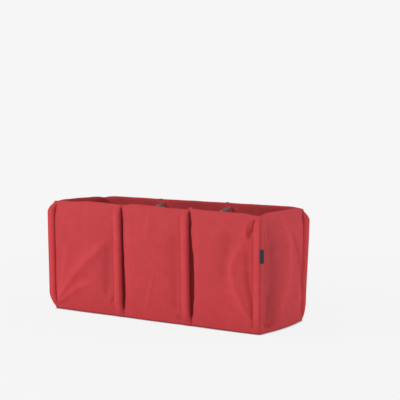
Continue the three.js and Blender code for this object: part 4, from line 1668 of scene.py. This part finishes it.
class Planter:
    """The whole planter."""

    def walls(self) -> list[CanvasWall]:
        """The four canvas walls."""
        return [self.front(), self.right_end(), self.back(), self.left_end()]

    def nodes(self, side: str) -> tuple[str, ...]:
        """The solids that the canvas of a long wall stands for."""
        bays = ("left", "middle", "right")
        parts = [f"{side}_{part}_{bay}" for part in ("skin", "rim_hem") for bay in bays]
        rolls = [f"{side}_divider_1_roll", f"{side}_divider_2_roll"]
        corners = [f"{side}_{end}_corner_roll" for end in ("left", "right")]
        return (*parts, *rolls, *corners)

    def front(self) -> CanvasWall:
        """The front wall, with the folds that the photograph shows, bay by bay."""
        left = (
            Fold(((-434, 24), (-335, 146), (-255, 216), (-176, 280)), 28, 10.0, 0.6, painted_weight=0.7),
            Fold(((-432, 20), (-318, 96), (-243, 120)), 15, 6.5, 0.7),
            Fold(((-424, 44), (-396, 130), (-370, 250)), 16, 4.1),
            Fold(((-176, 40), (-166, 56), (-163, 76)), 6, -4.3),
            Fold(((-196, 70), (-190, 160), (-184, 290)), 26, -5.8, painted_weight=1.6),
        )
        middle = (
            Fold(((-88, 60), (-92, 200), (-84, 345)), 42, 4.3),
            Fold(((22, 190), (6, 120), (-8, 48)), 9, 3.2, 0.6),
            Fold(((8, 317), (30, 320), (52, 316)), 4, -1.2),
            Fold(((-7, 388), (-2, 340), (-12, 280)), 10, 2.6),
            Fold(((112, 50), (106, 200), (112, 340)), 26, -5.2),
            Fold(((-33, 22), (-24, 20)), 4, -3.0, painted_weight=2.0),
            Fold(((119, 34), (123, 12)), 4, -4.0, painted_weight=2.0),
        )
        hook = ((437, 32), (399, 74), (364, 134), (346, 195), (345, 234), (367, 274), (404, 312))
        right = (
            Fold(hook, 18, 9.0, 0.8),
            Fold(((430, 40), (422, 100), (411, 160), (402, 222), (405, 286)), 10, -7.2),
            Fold(((421, 390), (426, 373), (422, 355), (411, 338), (413, 316)), 6, -8.4, painted_weight=1.7),
            Fold(((403, 384), (396, 350), (399, 316)), 8, 5.0),
            Fold(((412, 30), (428, 22), (438, 50)), 5, -5.5, painted_weight=2.2),
            Fold(((296, 170), (320, 250), (338, 350)), 28, -4.6, painted_weight=1.4),
            Fold(((196, 60), (200, 200), (206, 330)), 18, 2.9),
        )
        # fmt: off
        left_gaps = (
            (22, 0.4), (52, 5.0), (86, 9.0), (150, 9.0), (212, 7.0), (275, 5.0), (338, 3.5), (385, 2.6),
            (396, 0.4),
        )
        right_gaps = (
            (18, 0.4), (54, 8.0), (115, 12.5), (175, 15.0), (236, 13.0), (290, 6.0), (328, 2.5), (362, 7.0),
            (384, 4.5), (394, 0.4),
        )
        rim_line = (
            (-460, 10.0), (-425, 5.0), (-369, 2.0), (-276, 6.0), (-227, 5.0), (-150, 1.0), (-126, 1.0),
            (-82, 6.0), (-26, 5.0), (30, 3.0), (85, 0.0), (139, -1.0), (190, 2.0), (232, 0.0), (385, -2.0),
            (420, -4.0), (450, 0.0),
        )
        # fmt: on
        tucks = (
            FRONT_LEFT.tuck(Side.FRONT, -1),
            divider_tuck(-146, 8.0, 0.0, left_gaps),
            divider_tuck(149, 7.0, 9.0, right_gaps),
            FRONT_RIGHT.tuck(Side.FRONT, 1),
        )
        return CanvasWall(
            "front_canvas",
            Side.FRONT,
            tucks,
            (left, middle, right),
            seed=1.0,
            stands_for=self.nodes("front"),
            foot=2.5,
            rim_line=rim_line,
        )

    def right_end(self) -> CanvasWall:
        """The right end, with the folds that the photograph shows."""
        ridge = ((-26, 384), (-10, 338), (18, 285), (16, 207), (0, 136), (-42, 86), (-114, 30))
        folds = (
            Fold(((-92, -30), (-88, 150), (-92, 270), (-112, 372)), 52, -7.5, painted_weight=2.3),
            Fold(ridge, 27, 6.6, 0.62, painted_weight=1.3),
            Fold(((-124, 34), (-114, 78), (-106, 136)), 13, -5.6, painted_weight=1.6),
            Fold(((92, 150), (88, 96), (84, 46)), 14, 3.6, painted_weight=1.6),
            Fold(((-140, 42), (-122, 27), (-88, 19)), 5, -5.8, painted_weight=2.4),
            Fold(((-4, 96), (12, 40)), 8, 3.2),
            Fold(((46, 326), (88, 248), (116, 186), (122, 110)), 11, -5.4, painted_weight=1.5),
            Fold(((-124, 392), (-116, 350), (-118, 310)), 7, -3.8),
        )
        return CanvasWall(
            "right_end_canvas",
            Side.RIGHT_END,
            (FRONT_RIGHT.tuck(Side.RIGHT_END, -1), BACK_RIGHT.tuck(Side.RIGHT_END, 1)),
            (folds,),
            seed=41.0,
            stands_for=("right_end_skin", "right_end_rim_hem"),
            foot=11.0,
        )

    def back(self) -> CanvasWall:
        """The back wall, which the photograph doesn't show."""
        first = (
            Fold(((-432, 24), (-340, 130), (-240, 240)), 26, 6.1, 0.7),
            Fold(((-200, 70), (-184, 190), (-178, 320)), 24, -4.3),
        )
        middle = (
            Fold(((-124, 30), (-60, 150), (-20, 260)), 24, 4.6, 0.7),
            Fold(((108, 60), (98, 200), (62, 330)), 26, 3.8),
        )
        last = (
            Fold(((432, 24), (360, 120), (280, 240)), 24, 6.4, 0.7),
            Fold(((222, 320), (236, 220), (262, 120)), 30, -3.8),
        )
        gaps = ((24, 0.5), (70, 6.0), (140, 8.0), (260, 5.0), (372, 2.0))
        tucks = (
            BACK_RIGHT.tuck(Side.BACK, -1),
            divider_tuck(-153, 3.0, 3.0, gaps),
            divider_tuck(147, 4.0, 2.0, gaps),
            BACK_LEFT.tuck(Side.BACK, 1),
        )
        return CanvasWall(
            "back_canvas",
            Side.BACK,
            tucks,
            (first, middle, last),
            seed=21.0,
            stands_for=self.nodes("back"),
        )

    def left_end(self) -> CanvasWall:
        """The left end, of which the photograph shows the top of the rim."""
        folds = (
            Fold(((-132, 26), (-60, 120), (20, 230)), 26, 5.8, 0.7),
            Fold(((96, 60), (84, 200), (70, 320)), 26, -4.3),
        )
        return CanvasWall(
            "left_end_canvas",
            Side.LEFT_END,
            (BACK_LEFT.tuck(Side.LEFT_END, -1), FRONT_LEFT.tuck(Side.LEFT_END, 1)),
            (folds,),
            seed=61.0,
            stands_for=("left_end_skin", "left_end_rim_hem"),
            rim_line=((-160, 0.0), (-110, 0.0), (60, 2.0), (118, 3.0), (160, 7.0)),
        )

    def rods(self, walls: list[CanvasWall]) -> Iterator[Rod]:
        """A rod in each tube of the long walls, which hold all the tubes."""
        names = ("left_corner", "divider_1", "divider_2", "right_corner")
        for wall in walls:
            if wall.side not in (Side.FRONT, Side.BACK):
                continue
            side = wall.side.name.lower()
            for name, tuck in zip(names if wall.side is Side.FRONT else reversed(names), wall.tucks):
                yield Rod(f"{side}_{name}_rod", wall.axis_of(tuck))

    def linings(self, walls: list[CanvasWall]) -> Iterator[FeltLining]:
        """The felt sheets behind the canvas."""
        for wall in walls:
            side = wall.name.replace("_canvas", "")
            names = ["left", "middle", "right"] if len(wall.panels) > 1 else [""]
            if wall.side is Side.BACK:
                names.reverse()
            for panel, bay in zip(wall.panels, names):
                tail = f"_{bay}" if bay else ""
                yield FeltLining(f"{side}_felt{tail}", wall, panel, f"{side}_lining{tail}")

    def build(self) -> None:
        """Makes every piece, in order, and reports it."""
        walls = self.walls()
        parts = [
            *walls,
            *(HemStitches(wall.name.replace("canvas", "hem_stitches"), wall) for wall in walls),
            *self.linings(walls),
            FloorSheet("felt_floor_mat", "felt_floor", FELT, "needle_felt", 6.0, 0.8, over=2.8),
            FloorSheet("base_sheet", "base", CANVAS, "coated_canvas", 14.0, 0.6),
            FeltDivider("divider_left_felt", -150.0, "divider_1", 4.0),
            FeltDivider("divider_right_felt", 150.0, "divider_2", 9.0),
            *self.rods(walls),
            SideLabel(),
        ]
        for part in parts:
            piece = part.build()
            log.info("made %s, %d faces", piece.name, len(piece.data.polygons))


def main() -> None:
    """Builds the planter, the studio and the camera."""
    Viewpoint().build()
    Studio().build()
    Planter().build()


if __name__ == "__main__":
    main()
